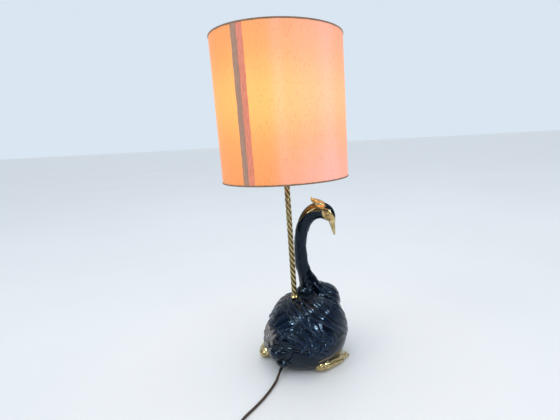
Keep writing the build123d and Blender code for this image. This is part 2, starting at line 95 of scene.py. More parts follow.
def turned(outline, segments, centre=(0, 0)):
    """Closed outline of (r, z, shift along X) turned about an upright axis."""
    verts = []
    for j in range(segments):
        a = 2 * pi * j / segments
        verts += [(centre[0] + shift + r * cos(a), centre[1] + r * sin(a), z) for r, z, shift in outline]
    return verts, [(a, d, c, b) for a, b, c, d in grid_faces(segments, len(outline), ring=True)]


def tube(stations, side, sides=32):
    """Closed tube through stations of (x, y, z, half width across, half width up)."""
    stations = np.array(stations, float)
    centres, verts, last = stations[:, :3], [], len(stations) - 1
    for i, (wide, tall) in enumerate(stations[:, 3:]):
        ahead = centres[min(i + 1, last)] - centres[max(i - 1, 0)]
        ahead /= np.linalg.norm(ahead)
        across = side - ahead * ahead.dot(side)
        across /= np.linalg.norm(across)
        up = np.cross(ahead, across)
        for j in range(sides):
            a = 2 * pi * j / sides
            verts.append(centres[i] + across * wide * cos(a) + up * tall * sin(a))
    return verts + [centres[0], centres[-1]], capped_faces(last + 1, sides)


def egg(centre, half, heading=0, tilt=0, rows=24, cols=36):
    """Ellipsoid, first tilted about its own Y and then turned to a heading."""
    turn = Matrix.Rotation(radians(heading), 3, "Z") @ Matrix.Rotation(radians(tilt), 3, "Y")
    points = []
    for i in range(rows):
        a = pi * (i + 0.5) / rows
        for j in range(cols):
            b = 2 * pi * j / cols
            points.append((half[0] * sin(a) * cos(b), half[1] * sin(a) * sin(b), half[2] * cos(a)))
    points += [(0, 0, half[2]), (0, 0, -half[2])]
    return [Vector(centre) + turn @ Vector(p) for p in points], [f[::-1] for f in capped_faces(rows, cols)]


def softened(obj, factor, rounds):
    """Smooths the skin and applies the object's modifiers."""
    soft = obj.modifiers.new("soft", "SMOOTH")
    soft.factor = factor
    soft.iterations = rounds
    bpy.context.view_layer.update()
    made = bpy.data.meshes.new_from_object(obj.evaluated_get(bpy.context.evaluated_depsgraph_get()))
    obj.modifiers.clear()
    obj.data = made
    made.shade_smooth()


def fused(name, parts, voxel, rounds):
    """One even skin over closed meshes that overlap, voxel in millimetres."""
    verts, faces = [], []
    for part_verts, part_faces in parts:
        start = len(verts)
        verts += list(part_verts)
        faces += [tuple(i + start for i in face) for face in part_faces]
    obj = mesh_object(name, verts, faces)
    remesh = obj.modifiers.new("remesh", "REMESH")
    remesh.mode = "VOXEL"
    remesh.voxel_size = voxel * MM
    remesh.use_smooth_shade = True
    softened(obj, 0.5, rounds)
    return obj


def vertex_rows(me, what):
    flat = np.empty(len(me.vertices) * 3)
    me.vertices.foreach_get(what, flat)
    return flat.reshape(-1, 3)


def coords(me):
    """Vertex positions in millimetres."""
    return vertex_rows(me, "co") / MM


def set_coords(me, points):
    me.vertices.foreach_set("co", (points * MM).ravel())
    me.update()


def paint(me, name, values):
    """Stores one number per vertex for the materials."""
    layer = me.attributes.new(name, "FLOAT", "POINT")
    layer.data.foreach_set("value", np.asarray(values, dtype=np.float32))


def step(x, low, high):
    """Smooth step from 0 at low to 1 at high."""
    t = np.clip((x - low) / (high - low), 0, 1)
    return t * t * (3 - 2 * t)


def bell(x, middle, width):
    """Bell curve, 1 at its middle."""
    return np.exp(-((x - middle) / width) ** 2)


def catmull(points, per_span):
    """Smooth line through given points."""
    p = np.array(points, float)
    p = np.vstack([2 * p[0] - p[1], p, 2 * p[-1] - p[-2]])
    line = []
    for a, b, c, d in zip(p, p[1:], p[2:], p[3:]):
        for t in np.linspace(0, 1, per_span, endpoint=False):
            line.append(0.5 * (2 * b + (c - a) * t + (2 * a - 5 * b + 4 * c - d) * t * t
                               + (3 * b - a - 3 * c + d) * t ** 3))
    return np.array(line + [p[-2]])


def inside_polygon(x, z, outline, soft=1.2):
    """1 inside a closed outline in the XZ plane, 0 outside, with an edge soft millimetres wide."""
    inside = np.zeros(len(x), dtype=bool)
    near = np.full(len(x), 1e9)
    for (x0, z0), (x1, z1) in zip(outline, outline[1:] + outline[:1]):
        if z1 != z0:
            inside ^= ((z0 > z) != (z1 > z)) & (x < x0 + (z - z0) * (x1 - x0) / (z1 - z0))
        dx, dz = x1 - x0, z1 - z0
        t = np.clip(((x - x0) * dx + (z - z0) * dz) / (dx * dx + dz * dz), 0, 1)
        near = np.minimum(near, np.hypot(x - x0 - t * dx, z - z0 - t * dz))
    return step(np.where(inside, near, -near), -soft / 2, soft / 2)


# ---------------------------------------------------------------- node builder
class Kit:
    """Nodes of a material or the world: k = Kit("name"), then k.add(type, socket=value or output)."""

    def __init__(self, name, owners=bpy.data.materials):
        self.owner = owners.new(name)
        self.owner.use_nodes = True
        self.tree = self.owner.node_tree
        self.tree.nodes.clear()

    def fill(self, socket, value):
        if isinstance(value, bpy.types.Node):
            value = value.outputs[0]
        if isinstance(value, bpy.types.NodeSocket):
            self.tree.links.new(value, socket)
        else:
            socket.default_value = (*value, 1) if socket.type == "RGBA" else value

    def add(self, kind, **inputs):
        """A node whose inputs are given by name, by number as i0, or as a setting of its own as _name."""
        n = self.tree.nodes.new("ShaderNode" + kind)
        for key, value in inputs.items():
            if key.startswith("_"):
                setattr(n, key[1:], value)
            else:
                self.fill(n.inputs[int(key[1:]) if key[1:].isdigit() else key.replace("_", " ")], value)
        return n

    def noise(self, scale, detail, rough, where, distortion=0):
        return self.add("TexNoise", Scale=scale, Detail=detail, Roughness=rough, Distortion=distortion,
                        Vector=where).outputs["Fac"]

    def mapped(self, which, stretch):
        return self.add("Mapping", i0=self.add("TexCoord").outputs[which], i3=stretch).outputs[0]

    def coord(self, upright=1):
        return self.mapped("Object", (1, 1, upright))

    def uv(self, sx=1, sy=1):
        return self.mapped("UV", (sx, sy, 1))

    def ramp(self, value, *stops):
        """Colour ramp through stops of (position, colour)."""
        n = self.add("ValToRGB", i0=value)
        elements = n.color_ramp.elements
        while len(elements) < len(stops):
            elements.new(0.5)
        for element, (position, colour) in zip(elements, stops):
            element.position = position
            element.color = (*colour, 1)
        return n.outputs[0]

    def mix(self, factor, a, b, blend="MIX"):
        return self.add("Mix", _data_type="RGBA", _blend_type=blend, i0=factor, i6=a, i7=b).outputs[2]

    def math(self, operation, a, b=0, c=0):
        return self.add("Math", _operation=operation, i0=a, i1=b, i2=c).outputs[0]

    def bump(self, height, distance, strength=1, **more):
        return self.add("Bump", Height=height, Distance=distance, Strength=strength, **more).outputs[0]

    def attribute(self, name):
        return self.add("Attribute", _attribute_name=name).outputs["Fac"]

    def done(self, shader, output="OutputMaterial"):
        self.add(output, Surface=shader)
        return self.owner

    def surface(self, **inputs):
        """The finished material, of one principled shader."""
        return self.done(self.add("BsdfPrincipled", **inputs))


# ---------------------------------------------------------------- materials
def plain_finish(name, colour, variation, rough, metal, grain, bump, coat=0, upright=1):
    """Solid material with cloudy colour, uneven gloss and a fine surface, its bump in millimetres."""
    k = Kit(name)
    where = k.coord(upright)
    cloud = k.noise(grain / 12, 5, 0.6, where)
    dark = [c * (1 - variation) for c in colour]
    light = [min(1, c * (1 + variation)) for c in colour]
    return k.surface(Base_Color=k.ramp(cloud, (0.3, dark), (0.7, light)), Metallic=metal,
                     Roughness=k.math("MULTIPLY_ADD", cloud, rough * 0.6, rough * 0.7),
                     Normal=k.bump(k.noise(grain, 3, 0.6, where), bump * MM),
                     Coat_Weight=coat, Coat_Roughness=0.08)


def glaze_material():
    """Deep navy glaze with umber curls, gilding and a copper nape; dark in the hollows as pooled glaze and
    painted shade.
    """
    k = Kit("glaze_navy")
    where = k.coord()
    cloud = k.noise(38, 5, 0.6, where, 0.6)
    streak = k.noise(140, 4, 0.6, where, 1.5)
    # relief sets the navy: darkest in the grooves as pooled glaze and painted shade, greyer on raised
    # feathers
    relief = k.math("MULTIPLY", k.attribute("relief"), 0.8)
    pooled_glaze_and_painted_shade = k.math("ADD", relief, k.math("MULTIPLY_ADD", cloud, 0.55, -0.28))
    navy = k.ramp(pooled_glaze_and_painted_shade, (0.1, (0.0015, 0.0038, 0.009)), (0.42, (0.0055, 0.0125, 0.031)),
                  (0.75, (0.013, 0.023, 0.046)), (1, (0.03, 0.034, 0.046)))
    tint = k.ramp(streak, (0.35, (0.75, 0.88, 1.15)), (0.65, (1.1, 1, 0.92)))
    body = k.mix(0.8, navy, tint, "MULTIPLY")
    curl = k.ramp(streak, (0.35, (0.075, 0.064, 0.06)), (0.65, (0.38, 0.33, 0.305)))
    body = k.mix(k.math("MULTIPLY", k.attribute("umber"), 0.9), body, curl)
    gilt = k.ramp(k.noise(90, 5, 0.65, where), (0.3, (0.40, 0.26, 0.09)), (0.7, (0.74, 0.54, 0.25)))
    bronze = k.ramp(streak, (0.3, (0.085, 0.052, 0.022)), (0.7, (0.27, 0.18, 0.075)))
    metal = k.mix(k.attribute("copper"), gilt, bronze)
    rubbed = k.ramp(k.noise(260, 3, 0.7, where), (0.28, (0.5, 0.5, 0.5)), (0.36, (1, 1, 1)))
    worn = k.math("MULTIPLY", k.attribute("gold"), rubbed)
    rough = k.math("MULTIPLY_ADD", worn, 0.2, k.math("MULTIPLY_ADD", cloud, 0.06, 0.02))
    dent = k.bump(k.noise(48, 3, 0.5, where), 0.0009, 0.45)
    return k.surface(Base_Color=k.mix(worn, body, metal), Roughness=rough, Metallic=worn,
                     Normal=k.bump(k.noise(420, 3, 0.6, where), 0.00004, 0.6, Normal=dent),
                     Specular_IOR_Level=0.36, Specular_Tint=(0.62, 0.82, 1))


def gold_material():
    """Fired gold lustre over a slightly dimpled ceramic, thin in places."""
    k = Kit("fired_gold")
    where = k.coord()
    base = k.ramp(k.noise(70, 5, 0.65, where), (0.25, (0.24, 0.16, 0.06)), (0.45, (0.50, 0.37, 0.16)),
                  (0.75, (0.80, 0.65, 0.36)))
    pit = k.noise(240, 4, 0.6, where)
    dents = k.add("TexVoronoi", Vector=where, Scale=190, _feature="SMOOTH_F1", Smoothness=0.6)
    hollow = k.bump(dents.outputs["Distance"], 0.0007, 0.35)
    return k.surface(Base_Color=base, Roughness=k.math("MULTIPLY_ADD", pit, 0.22, 0.12), Metallic=0.96,
                     Normal=k.bump(pit, 0.00012, 0.6, Normal=hollow), Coat_Weight=0.4, Coat_Roughness=0.1)


def rope_material():
    """Aged brass, bright on the strands and dark in the grooves."""
    k = Kit("twisted_brass")
    where = k.coord(0.25)
    cloud = k.math("MULTIPLY_ADD", k.noise(160, 5, 0.6, where), 0.5, -0.25)
    worn = k.math("ADD", k.attribute("groove"), cloud)
    base = k.ramp(worn, (0.15, (0.022, 0.015, 0.007)), (0.5, (0.15, 0.105, 0.045)), (0.95, (0.52, 0.41, 0.2)))
    return k.surface(Base_Color=base, Roughness=k.math("MULTIPLY_ADD", worn, -0.25, 0.5), Metallic=0.9,
                     Normal=k.bump(k.noise(900, 3, 0.6, where), 0.00004, 0.7))


def silk_material(name, colours, warmth, glow_strength):
    """Silk shantung round the drum: upright slubs, a warm glow opposite the bulb, light through it."""
    k = Kit(name)
    slub = k.noise(1, 4, 0.6, k.uv(820, 42), 0.3)
    thread = k.noise(1, 2, 0.5, k.uv(3400, 60))
    weft = k.noise(1, 2, 0.5, k.uv(300, 2600))
    fleck = k.ramp(k.noise(1, 2, 0.4, k.uv(560, 95), 0.2), (0.63, (0, 0, 0)), (0.72, (1, 1, 1)))
    nub = (0.24, 0.13, 0.07)
    tone = k.math("ADD", k.math("MULTIPLY", slub, 0.7), k.math("MULTIPLY", thread, 0.3))
    base = k.mix(k.math("MULTIPLY", fleck, 0.6), k.ramp(tone, *zip((0.3, 0.55, 0.8), colours)), nub)
    warm = k.ramp(k.attribute("glow"), *zip((0, 0.5, 1), warmth))
    # painted daylight: a bluish wash added to the glow on one side of the drum
    pale = k.ramp(k.attribute("pale"), (0, (0, 0, 0)), (1, (0.14, 0.2, 0.46)))
    shaded = k.math("MULTIPLY_ADD", fleck, 0.5, k.math("MULTIPLY", slub, 0.2))
    lit = k.mix(shaded, k.mix(1, warm, pale, "ADD"), nub)
    height = k.math("ADD", slub, k.math("MULTIPLY", thread, 0.5))
    normal = k.bump(k.math("ADD", height, k.math("MULTIPLY", weft, 0.25)), 0.00035, 0.8)
    cloth = k.add("BsdfPrincipled", Base_Color=base, Roughness=0.62, Normal=normal,
                  Emission_Color=lit, Emission_Strength=glow_strength, Sheen_Weight=0.25, Sheen_Roughness=0.4)
    through = k.add("BsdfTranslucent", Color=base, Normal=normal)
    return k.done(k.add("MixShader", i0=0.3, i1=cloth, i2=through))


def weave_material(name, dark, light, rough, glow_strength):
    """Plain woven tape with a little of the shade's light in it."""
    k = Kit(name)
    warp, weft = (k.add("TexWave", Vector=k.uv(), Scale=700, Distortion=1.2, Detail=2, _wave_type="BANDS",
                        _bands_direction=way).outputs["Fac"] for way in "XY")
    both = k.math("MULTIPLY", warp, weft)
    cloud = k.noise(1, 4, 0.6, k.uv(300, 60))
    tone = k.math("ADD", k.math("MULTIPLY", both, 0.45), k.math("MULTIPLY", cloud, 0.6))
    base = k.ramp(tone, (0.25, dark), (0.75, light))
    return k.surface(Base_Color=base, Roughness=rough, Normal=k.bump(both, 0.0002, 0.7), Sheen_Weight=0.2,
                     Emission_Color=base, Emission_Strength=glow_strength)


def lit_material(name, colour, rough, scale, detail, tones, glow_strength, coat=0):
    """Frosted bulb glass, or the filament in it, with an uneven glow."""
    k = Kit(name)
    tone = k.ramp(k.noise(scale, detail, 0.5, k.coord()), *zip((0.3, 0.7), tones))
    return k.surface(Base_Color=colour, Roughness=rough, Emission_Color=tone,
                     Emission_Strength=glow_strength, Coat_Weight=coat)


def felt_material():
    k = Kit("felt_green_grey")
    where = k.coord()
    fibre = k.noise(1500, 4, 0.75, where, 2)
    cloud = k.noise(60, 4, 0.6, where)
    tone = k.math("ADD", k.math("MULTIPLY", fibre, 0.6), k.math("MULTIPLY", cloud, 0.4))
    return k.surface(Base_Color=k.ramp(tone, (0.3, (0.012, 0.014, 0.013)), (0.7, (0.05, 0.055, 0.05))),
                     Roughness=0.95, Normal=k.bump(fibre, 0.0004, 0.9), Sheen_Weight=0.4)


# slot: name, colour, variation, roughness, metal, grain, bump in mm, coat, upright stretch
PLAIN = {
    "steel": ("zinc_steel", (0.42, 0.43, 0.44), 0.2, 0.34, 1, 700, 0.03),
    "brass_plain": ("lacquered_brass", (0.62, 0.44, 0.17), 0.3, 0.28, 1, 800, 0.03, 0.3),
    "cable": ("cord_brown_pvc", (0.058, 0.028, 0.016), 0.35, 0.4, 0, 1200, 0.06),
    "relief": ("relief_black_rubber", (0.02, 0.018, 0.017), 0.3, 0.55, 0, 1500, 0.06),
    "bakelite": ("bakelite_black", (0.017, 0.014, 0.013), 0.5, 0.22, 0, 500, 0.03, 0.5),
    "porcelain": ("porcelain_white", (0.78, 0.75, 0.69), 0.07, 0.2, 0, 300, 0.05, 0.6),
    "aluminium": ("spun_aluminium", (0.76, 0.76, 0.77), 0.12, 0.3, 1, 900, 0.03, 0, 6),
    "black_glass": ("black_glass", (0.012, 0.012, 0.016), 0.4, 0.12, 0, 400, 0.02, 0.6),
    "solder": ("solder_tin", (0.62, 0.62, 0.64), 0.2, 0.4, 1, 1300, 0.06),
    "white_wire": ("wire_white_lacquer", (0.72, 0.7, 0.66), 0.12, 0.35, 0, 700, 0.04, 0.3),
    "switch_plastic": ("switch_dark_brown", (0.042, 0.022, 0.013), 0.3, 0.33, 0, 1500, 0.05, 0.1),
    "rocker_plastic": ("rocker_brown", (0.09, 0.05, 0.03), 0.25, 0.3, 0, 1500, 0.04, 0.1),
    "tie": ("tie_black_nylon", (0.018, 0.018, 0.02), 0.3, 0.5, 0, 2400, 0.08),
}
FINISH = {slot: plain_finish(*values) for slot, values in PLAIN.items()}
FINISH.update({
    "glaze": glaze_material(),
    "gold": gold_material(),
    "felt": felt_material(),
    "brass": rope_material(),
    "bulb_glass": lit_material("lit_bulb_glass", (0.95, 0.93, 0.88), 0.25, 40, 3,
                               [(1, 0.78, 0.5), (1, 0.86, 0.64)], 5, 0.8),
    "tungsten": lit_material("filament_glow", (0.3, 0.28, 0.26), 0.4, 900, 2,
                             [(1, 0.5, 0.16), (1, 0.7, 0.35)], 30),
    "shade_silk": silk_material("silk_apricot", [(0.5, 0.17, 0.07), (0.66, 0.26, 0.11), (0.74, 0.34, 0.17)],
                                [(0.66, 0.28, 0.065), (0.88, 0.42, 0.075), (1.05, 0.64, 0.12)], 0.97),
    "shade_lining": silk_material("lining_warm_white",
                                  [(0.66, 0.5, 0.36), (0.8, 0.64, 0.48), (0.86, 0.74, 0.6)],
                                  [(0.4, 0.26, 0.15), (0.6, 0.42, 0.25), (0.8, 0.62, 0.4)], 0.45),
    "seam_tape": weave_material("ribbon_taupe", (0.2, 0.09, 0.05), (0.4, 0.21, 0.13), 0.7, 0.2),
    "rim_tape": weave_material("rim_tape_buff", (0.16, 0.085, 0.045), (0.36, 0.22, 0.13), 0.8, 0.1),
})


# ---------------------------------------------------------------- cords
CORD_R = 3
EXIT_POINT = Vector((-38.5, -52, 9.5))
EXIT = Vector((cos(radians(-100)), sin(radians(-100)), 0))
SWITCH_Y, SWITCH_END_Z = -278.5, 8
COIL = (72, -318.5)
COIL_MIDDLE_R = 35
LOW_LAYER, HIGH_LAYER, CLIMB = 3.6, 9.6, 4
PLUG_Y, PLUG_Z = -361, 7


def spline_cord(name, points):
    """Round cable on one smooth NURBS line through control points in millimetres."""
    curve = bpy.data.curves.new(name, "CURVE")
    curve.dimensions = "3D"
    line = curve.splines.new("NURBS")
    line.points.add(len(points) - 1)
    for point, (x, y, z) in zip(line.points, points):
        point.co = (x * MM, y * MM, z * MM, 1)
        point.radius = CORD_R * MM
    line.order_u = 3
    line.use_endpoint_u = True
    line.resolution_u = 6
    curve.bevel_depth = 1            # times each point's radius
    curve.bevel_resolution = 5
    curve.use_fill_caps = True
    return link(bpy.data.objects.new(name, curve))


def coil_turns():
    """Three and a half turns inwards on the floor, then three outwards on top of them."""
    lanes = []
    for start_r, end_r, start_a, turns, z in ((45.5, 24.5, 90, 3.5, LOW_LAYER),
                                              (24.5, 42.5, -90, 3, HIGH_LAYER)):
        low = z == LOW_LAYER
        count = int(turns * 16)
        for i in range(count if low else count + 1):
            t = i / count
            r, a = start_r + (end_r - start_r) * t, radians(start_a - 360 * turns * t)
            rise = max(0, t - 0.93) / 0.07 * CLIMB if low else 0
            r += 0.35 * sin(5 * a + z)
            lanes.append((COIL[0] + r * cos(a), COIL[1] + r * sin(a), z + rise))
    return lanes


RUN = [tuple(EXIT_POINT + EXIT * 2), tuple(EXIT_POINT + EXIT * 22), tuple(EXIT_POINT + EXIT * 33),
       (-47.2, -98.5, 5.4), (-52.4, -113, 3.1), (-59.5, -134, 3.1), (-70.5, -160, 3.1),
       (-86.5, -189, 3.1), (-102.5, -213, 3.1), (-110.5, -232.5, 3.1), (-109.3, -252.3, 3.1),
       (-98.4, -269.2, 4.4), (-80, SWITCH_Y, SWITCH_END_Z), (-59, SWITCH_Y, SWITCH_END_Z)]
LINK = [(-1, SWITCH_Y, SWITCH_END_Z), (14, SWITCH_Y, SWITCH_END_Z), (29, -277.4, 4.4),
        (45, -274.2, LOW_LAYER), (COIL[0] - 12, COIL[1] + 45.2, LOW_LAYER)]
TAIL = [(COIL[0] - 12, COIL[1] - 42.6, HIGH_LAYER), (46, -361.4, 9), (33, PLUG_Y, PLUG_Z),
        (18, PLUG_Y, PLUG_Z), (4, PLUG_Y, PLUG_Z)]

run_cord = spline_cord("mains_cord", RUN)
piece(run_cord, "base", ["cord_run"], FINISH["cable"])
coil_cord = spline_cord("spare_cord", LINK + coil_turns() + TAIL)
piece(coil_cord, "base", ["cord_link", "cord_coil", "cord_end"], FINISH["cable"])


def strap(name, angle, half_w, low, high, width, thick, corner=3):
    """Band wrapped once round the coil's bundle of turns, with rounded corners and thinned edges."""
    turn, middle_z, loop, verts = radians(angle), (low + high) / 2, [], []
    out, side = Vector((cos(turn), sin(turn), 0)), Vector((-sin(turn), cos(turn), 0))
    for u, z, start in ((half_w - corner, high - corner, 0), (-half_w + corner, high - corner, 90),
                        (-half_w + corner, low + corner, 180), (half_w - corner, low + corner, 270)):
        bend = [radians(start + 15 * i) for i in range(7)]
        loop += [(u + corner * cos(a), z + corner * sin(a)) for a in bend]
    middle = Vector((*COIL, 0)) + out * COIL_MIDDLE_R
    for u, z in loop:
        grow = 1 + thick / hypot(u, z - middle_z)
        for across, scale in ((-width / 2, 1), (-width / 2 + 0.4, grow), (width / 2 - 0.4, grow),
                              (width / 2, 1)):
            p = middle + out * (u * scale) + side * across
            verts.append((p.x, p.y, middle_z + (z - middle_z) * scale))
    return mesh_object(name, verts, grid_faces(len(loop), 4, ring=True))


tie = strap("coil_strap", 200, 13.9, 0.5, 12.8, 6, 0.6)
piece(tie, "base", ["coil_tie"], FINISH["tie"])


# ---------------------------------------------------------------- shade
SHADE_R, SHADE_Z0, SHADE_Z1 = 149.4, 477, 797
SHADE_SEGMENTS = 240
HOT_Z, HOT_AZ = 655, -100          # where the bulb shines strongest through the cloth
SEAM_AZ, RIM_W = -116, 2.6


def drum_uv(me):
    """UV in metres: round the drum and up it."""
    uv = me.uv_layers.new(name="drum")
    p = coords(me)
    angle = np.arctan2(p[:, 1], p[:, 0])
    for poly in me.polygons:
        first = angle[me.loops[poly.loop_start].vertex_index]
        for li in poly.loop_indices:
            v = me.loops[li].vertex_index
            turn = first + (angle[v] - first + pi) % (2 * pi) - pi
            uv.data[li].uv = (turn * SHADE_R * MM, p[v, 2] * MM)


def shell_drum(name, outer, inner, z0, z1, wave=0):
    """Thin drum with faint waves in its cloth, painted with the bulb's glow and with painted daylight in
    bands.
    """
    heights = list(np.linspace(z0, z1, 41))
    outline = [(outer, z, 0) for z in heights] + [(inner, z, 0) for z in reversed(heights)]
    obj = mesh_object(name, *turned(outline, SHADE_SEGMENTS))
    p = coords(obj.data)
    a, r, z = np.arctan2(p[:, 1], p[:, 0]), np.hypot(p[:, 0], p[:, 1]), p[:, 2]
    ripple = wave * (np.sin(9 * a + 0.013 * z) * 0.5 + np.sin(23 * a - 0.02 * z) * 0.3
                     + np.sin(4 * a + 0.035 * z) * 0.4)
    r = r - np.abs(ripple) * step(z, z0, z0 + 25) * (1 - step(z, z1 - 25, z1))
    set_coords(obj.data, np.column_stack([r * np.cos(a), r * np.sin(a), z]))
    drum_uv(obj.data)
    turn = (np.degrees(a) - HOT_AZ + 180) % 360 - 180
    paint(obj.data, "glow", bell(z, HOT_Z, 105) * (0.72 + 0.28 * bell(turn, 0, 38)))
    # painted daylight on the cloth: bluish on one side, in narrow upright bands and near the bottom on that
    # side
    pale = 0.45 * step(turn, -4, 40) * (1 - step(turn, 120, 170)) + 0.25 * bell(turn, 14, 5)
    pale += 0.35 * bell(turn, 56, 10) + 0.2 * bell(turn, -62, 9)
    pale += 0.3 * step(turn, 0, 40) * (1 - step(z, z0 + 10, z0 + 110))
    paint(obj.data, "pale", pale)
    return obj


def rolled_binding(name, z_rim, inward):
    """Cloth tape folded over a rim: rounded fold, slightly uneven edge. inward is +1 up from a lower rim."""
    section = [(0.25, 3), (0.75, 2.6), (0.95, 1.6), (0.9, 0.6), (0.3, -0.25), (-1, -0.4), (-2.4, -0.2),
               (-2.9, 0.7), (-2.9, 2), (-2.6, 3), (-1.8, 2.9), (-1.6, 1.3), (-0.2, 1.3), (-0.2, 2.9)]
    outline = [(SHADE_R + out, z_rim + inward * z, 0) for out, z in section[::-inward]]
    obj = mesh_object(name, *turned(outline, SHADE_SEGMENTS))
    p = coords(obj.data)
    a = np.arctan2(p[:, 1], p[:, 0])
    far = np.abs(p[:, 2] - z_rim)
    p[:, 2] += inward * step(far, 2, 3) * (0.25 * np.sin(31 * a) + 0.15 * np.sin(67 * a + 1))
    set_coords(obj.data, p)
    drum_uv(obj.data)
    return obj


def ribbon(name, left, right, rows=60, cols=9):
    """Strip glued up the drum between two offsets from the seam, in millimetres, with puckered edges."""
    front = [j / (cols - 1) for j in range(cols)]
    section, verts = [(t, True) for t in front] + [(t, False) for t in reversed(front)], []
    for i in range(rows + 1):
        z = SHADE_Z0 + RIM_W + (SHADE_Z1 - SHADE_Z0 - 2 * RIM_W) * i / rows
        edge = 0.35 * sin(z * 0.11) + 0.25 * sin(z * 0.31 + left)
        for t, outside in section:
            crown = 0.35 * (1 - (2 * t - 1) ** 6) + 0.08 * sin(z * 0.5 + 6 * t)
            r = SHADE_R + (crown if outside else -0.25)
            a = radians(SEAM_AZ) + (left + (right - left) * t + edge) / SHADE_R
            verts.append((r * cos(a), r * sin(a), z))
    obj = mesh_object(name, verts, grid_faces(rows + 1, len(section)))
    drum_uv(obj.data)
    return obj


fabric = shell_drum("silk_drum", SHADE_R, SHADE_R - 0.65, SHADE_Z0 + 0.6, SHADE_Z1 - 0.6, wave=0.28)
piece(fabric, "shade", ["shade_fabric"], FINISH["shade_silk"])
liner = shell_drum("lining_drum", SHADE_R - 1, SHADE_R - 1.8, SHADE_Z0 + 0.7, SHADE_Z1 - 0.7)
piece(liner, "shade", ["shade_liner"], FINISH["shade_lining"])
top_tape = rolled_binding("rim_tape_top", SHADE_Z1 - 0.4, -1)
piece(top_tape, "shade", ["top_binding"], FINISH["rim_tape"])
bottom_tape = rolled_binding("rim_tape_bottom", SHADE_Z0 + 0.4, 1)
piece(bottom_tape, "shade", ["bottom_binding"], FINISH["rim_tape"])
grey = weave_material("ribbon_grey", (0.26, 0.13, 0.08), (0.5, 0.28, 0.19), 0.7, 0.32)
piece(ribbon("seam_ribbon_left", -14, 0.2), "shade", ["seam_ribbon"], grey)
# the right strip: a reddish tape, drawn brighter than the left strip with painted light of the bulb shining
# through it
backlit_rust = weave_material("ribbon_rust_painted_backlight", (0.52, 0.13, 0.07), (0.82, 0.27, 0.16), 0.7, 0.42)
piece(ribbon("seam_ribbon_right", -0.2, 14), "shade", [], backlit_rust)


# ---------------------------------------------------------------- rope stem
ROPE_Z0, ROPE_Z1, ROPE_PITCH = 177.6, 526.6, 62
STRAND_R, STRAND_AT, ROPE_CORE_R = 3.5, 3.6, 5.1


def rope(name, rows=560, sides=72):
    """Four strands twisted round a core that clears the tube inside."""
    verts, groove = [], []
    for i in range(rows + 1):
        z = ROPE_Z0 + (ROPE_Z1 - ROPE_Z0) * i / rows
        twist = -360 * (z - ROPE_Z0) / ROPE_PITCH
        for j in range(sides):
            a = 360 * j / sides
            off = radians((a + 45) % 90 - 45)
            r = max(ROPE_CORE_R, STRAND_AT * cos(off) + sqrt(STRAND_R ** 2 - (STRAND_AT * sin(off)) ** 2))
            verts.append((r * cos(radians(a + twist)), r * sin(radians(a + twist)), z))
            groove.append(min(1, (r - ROPE_CORE_R) / 1.9))
    obj = mesh_object(name, verts, grid_faces(rows + 1, sides))
    paint(obj.data, "groove", groove)
    return obj


piece(rope("rope_twist"), "base", ["rope_sleeve"], FINISH["brass"])


# ---------------------------------------------------------------- bird: skin
AXIS = (18, 15)                    # middle of the body on the floor
FACING, TAIL_AZ = 63, -117
BODY = [(76, 2.2), (88, 10), (100, 24), (107.5, 46), (108.5, 64), (105, 84), (98.5, 106), (89, 128),
        (75, 148), (54, 162), (28, 170.5), (0.3, 173.5)]
RECESS = [(0.3, 44), (30, 44), (55, 43.6), (67, 42), (68.5, 38), (68, 20), (68, 2.2), (72, 2)]
LEAN = [(0, 0), (20, 0.5), (50, 3), (80, 7), (110, 9.5), (140, 12), (180, 13)]
PROFILE = catmull(BODY, 6)
NECK = [(46, 42, 148, 33, 42), (40, 40, 178, 26, 33), (34.5, 38.5, 200, 19, 24), (28, 38, 221, 15.5, 18.6),
        (22, 38, 243, 14.5, 17.5), (20.8, 38, 266, 14.2, 16.6), (20.6, 38, 295, 13.8, 15.4),
        (23.2, 37.5, 318, 13.8, 15.8), (28.6, 36.5, 340, 14, 16.4), (36.2, 35, 358.5, 14.4, 17.4),
        (47.5, 32.5, 375, 15, 19), (60.5, 30, 385, 15.6, 20.4), (74.5, 27.4, 389, 16, 21.2),
        (86, 25, 387.5, 16.2, 21.2), (95, 22.8, 381, 15.2, 19.6), (101.5, 21, 373, 12.8, 15.6),
        (105, 19.8, 366.5, 9, 11), (106.5, 19.2, 362, 4.5, 5.5)]
ACROSS = (-0.35, -1, 0)


def lean(z):
    """How far the body's section at a height is shifted towards the breast."""
    return np.interp(z, *zip(*LEAN))


def body_r(z):
    return np.interp(z, PROFILE[:, 1], PROFILE[:, 0])


def on_body(az, z):
    """Point of the plain body at a heading from its axis and a height."""
    r = body_r(z)
    return AXIS[0] + lean(z) + r * cos(radians(az)), AXIS[1] + r * sin(radians(az)), z


# the body stands over an open recess; the lobes are the hump behind the neck, its shoulder, the fold at the
# neck's root and the tuft under the tail
body = [(r, z, 0) for r, z in RECESS] + [(max(0.3, r), z, lean(z)) for r, z in PROFILE]
bird = fused("bird_body", [
    turned(body, 144, AXIS),
    tube(catmull(NECK, 5), ACROSS, 40),
    egg((74, 54, 131), (45, 42, 50), 20),
    egg((57, 47, 166), (33, 32, 24), 20),
    egg((29, 22, 179), (25, 20, 15), 10),
    egg((-43, -65, 57), (24, 19, 19), -37, -8),
    egg((-34, -71, 31), (20, 11, 10), -32, -6)], 1.1, 5)


# ---------------------------------------------------------------- bird: feathers
skin = coords(bird.data)
outward = vertex_rows(bird.data, "normal")
raised = np.zeros(len(skin))
skin_tree = BVHTree.FromPolygons([Vector(v) for v in skin], [tuple(f.vertices) for f in bird.data.polygons])


def snapped(points):
    """The nearest points of the skin, and its normals there."""
    found = [skin_tree.find_nearest(Vector(p)) for p in points]
    return np.array([f[0] for f in found]), np.array([f[1] for f in found])


def around(line, margin):
    """Numbers of the skin's vertices within a margin of a line's bounding box."""
    return np.where(np.all((skin > line.min(0) - margin) & (skin < line.max(0) + margin), axis=1))[0]


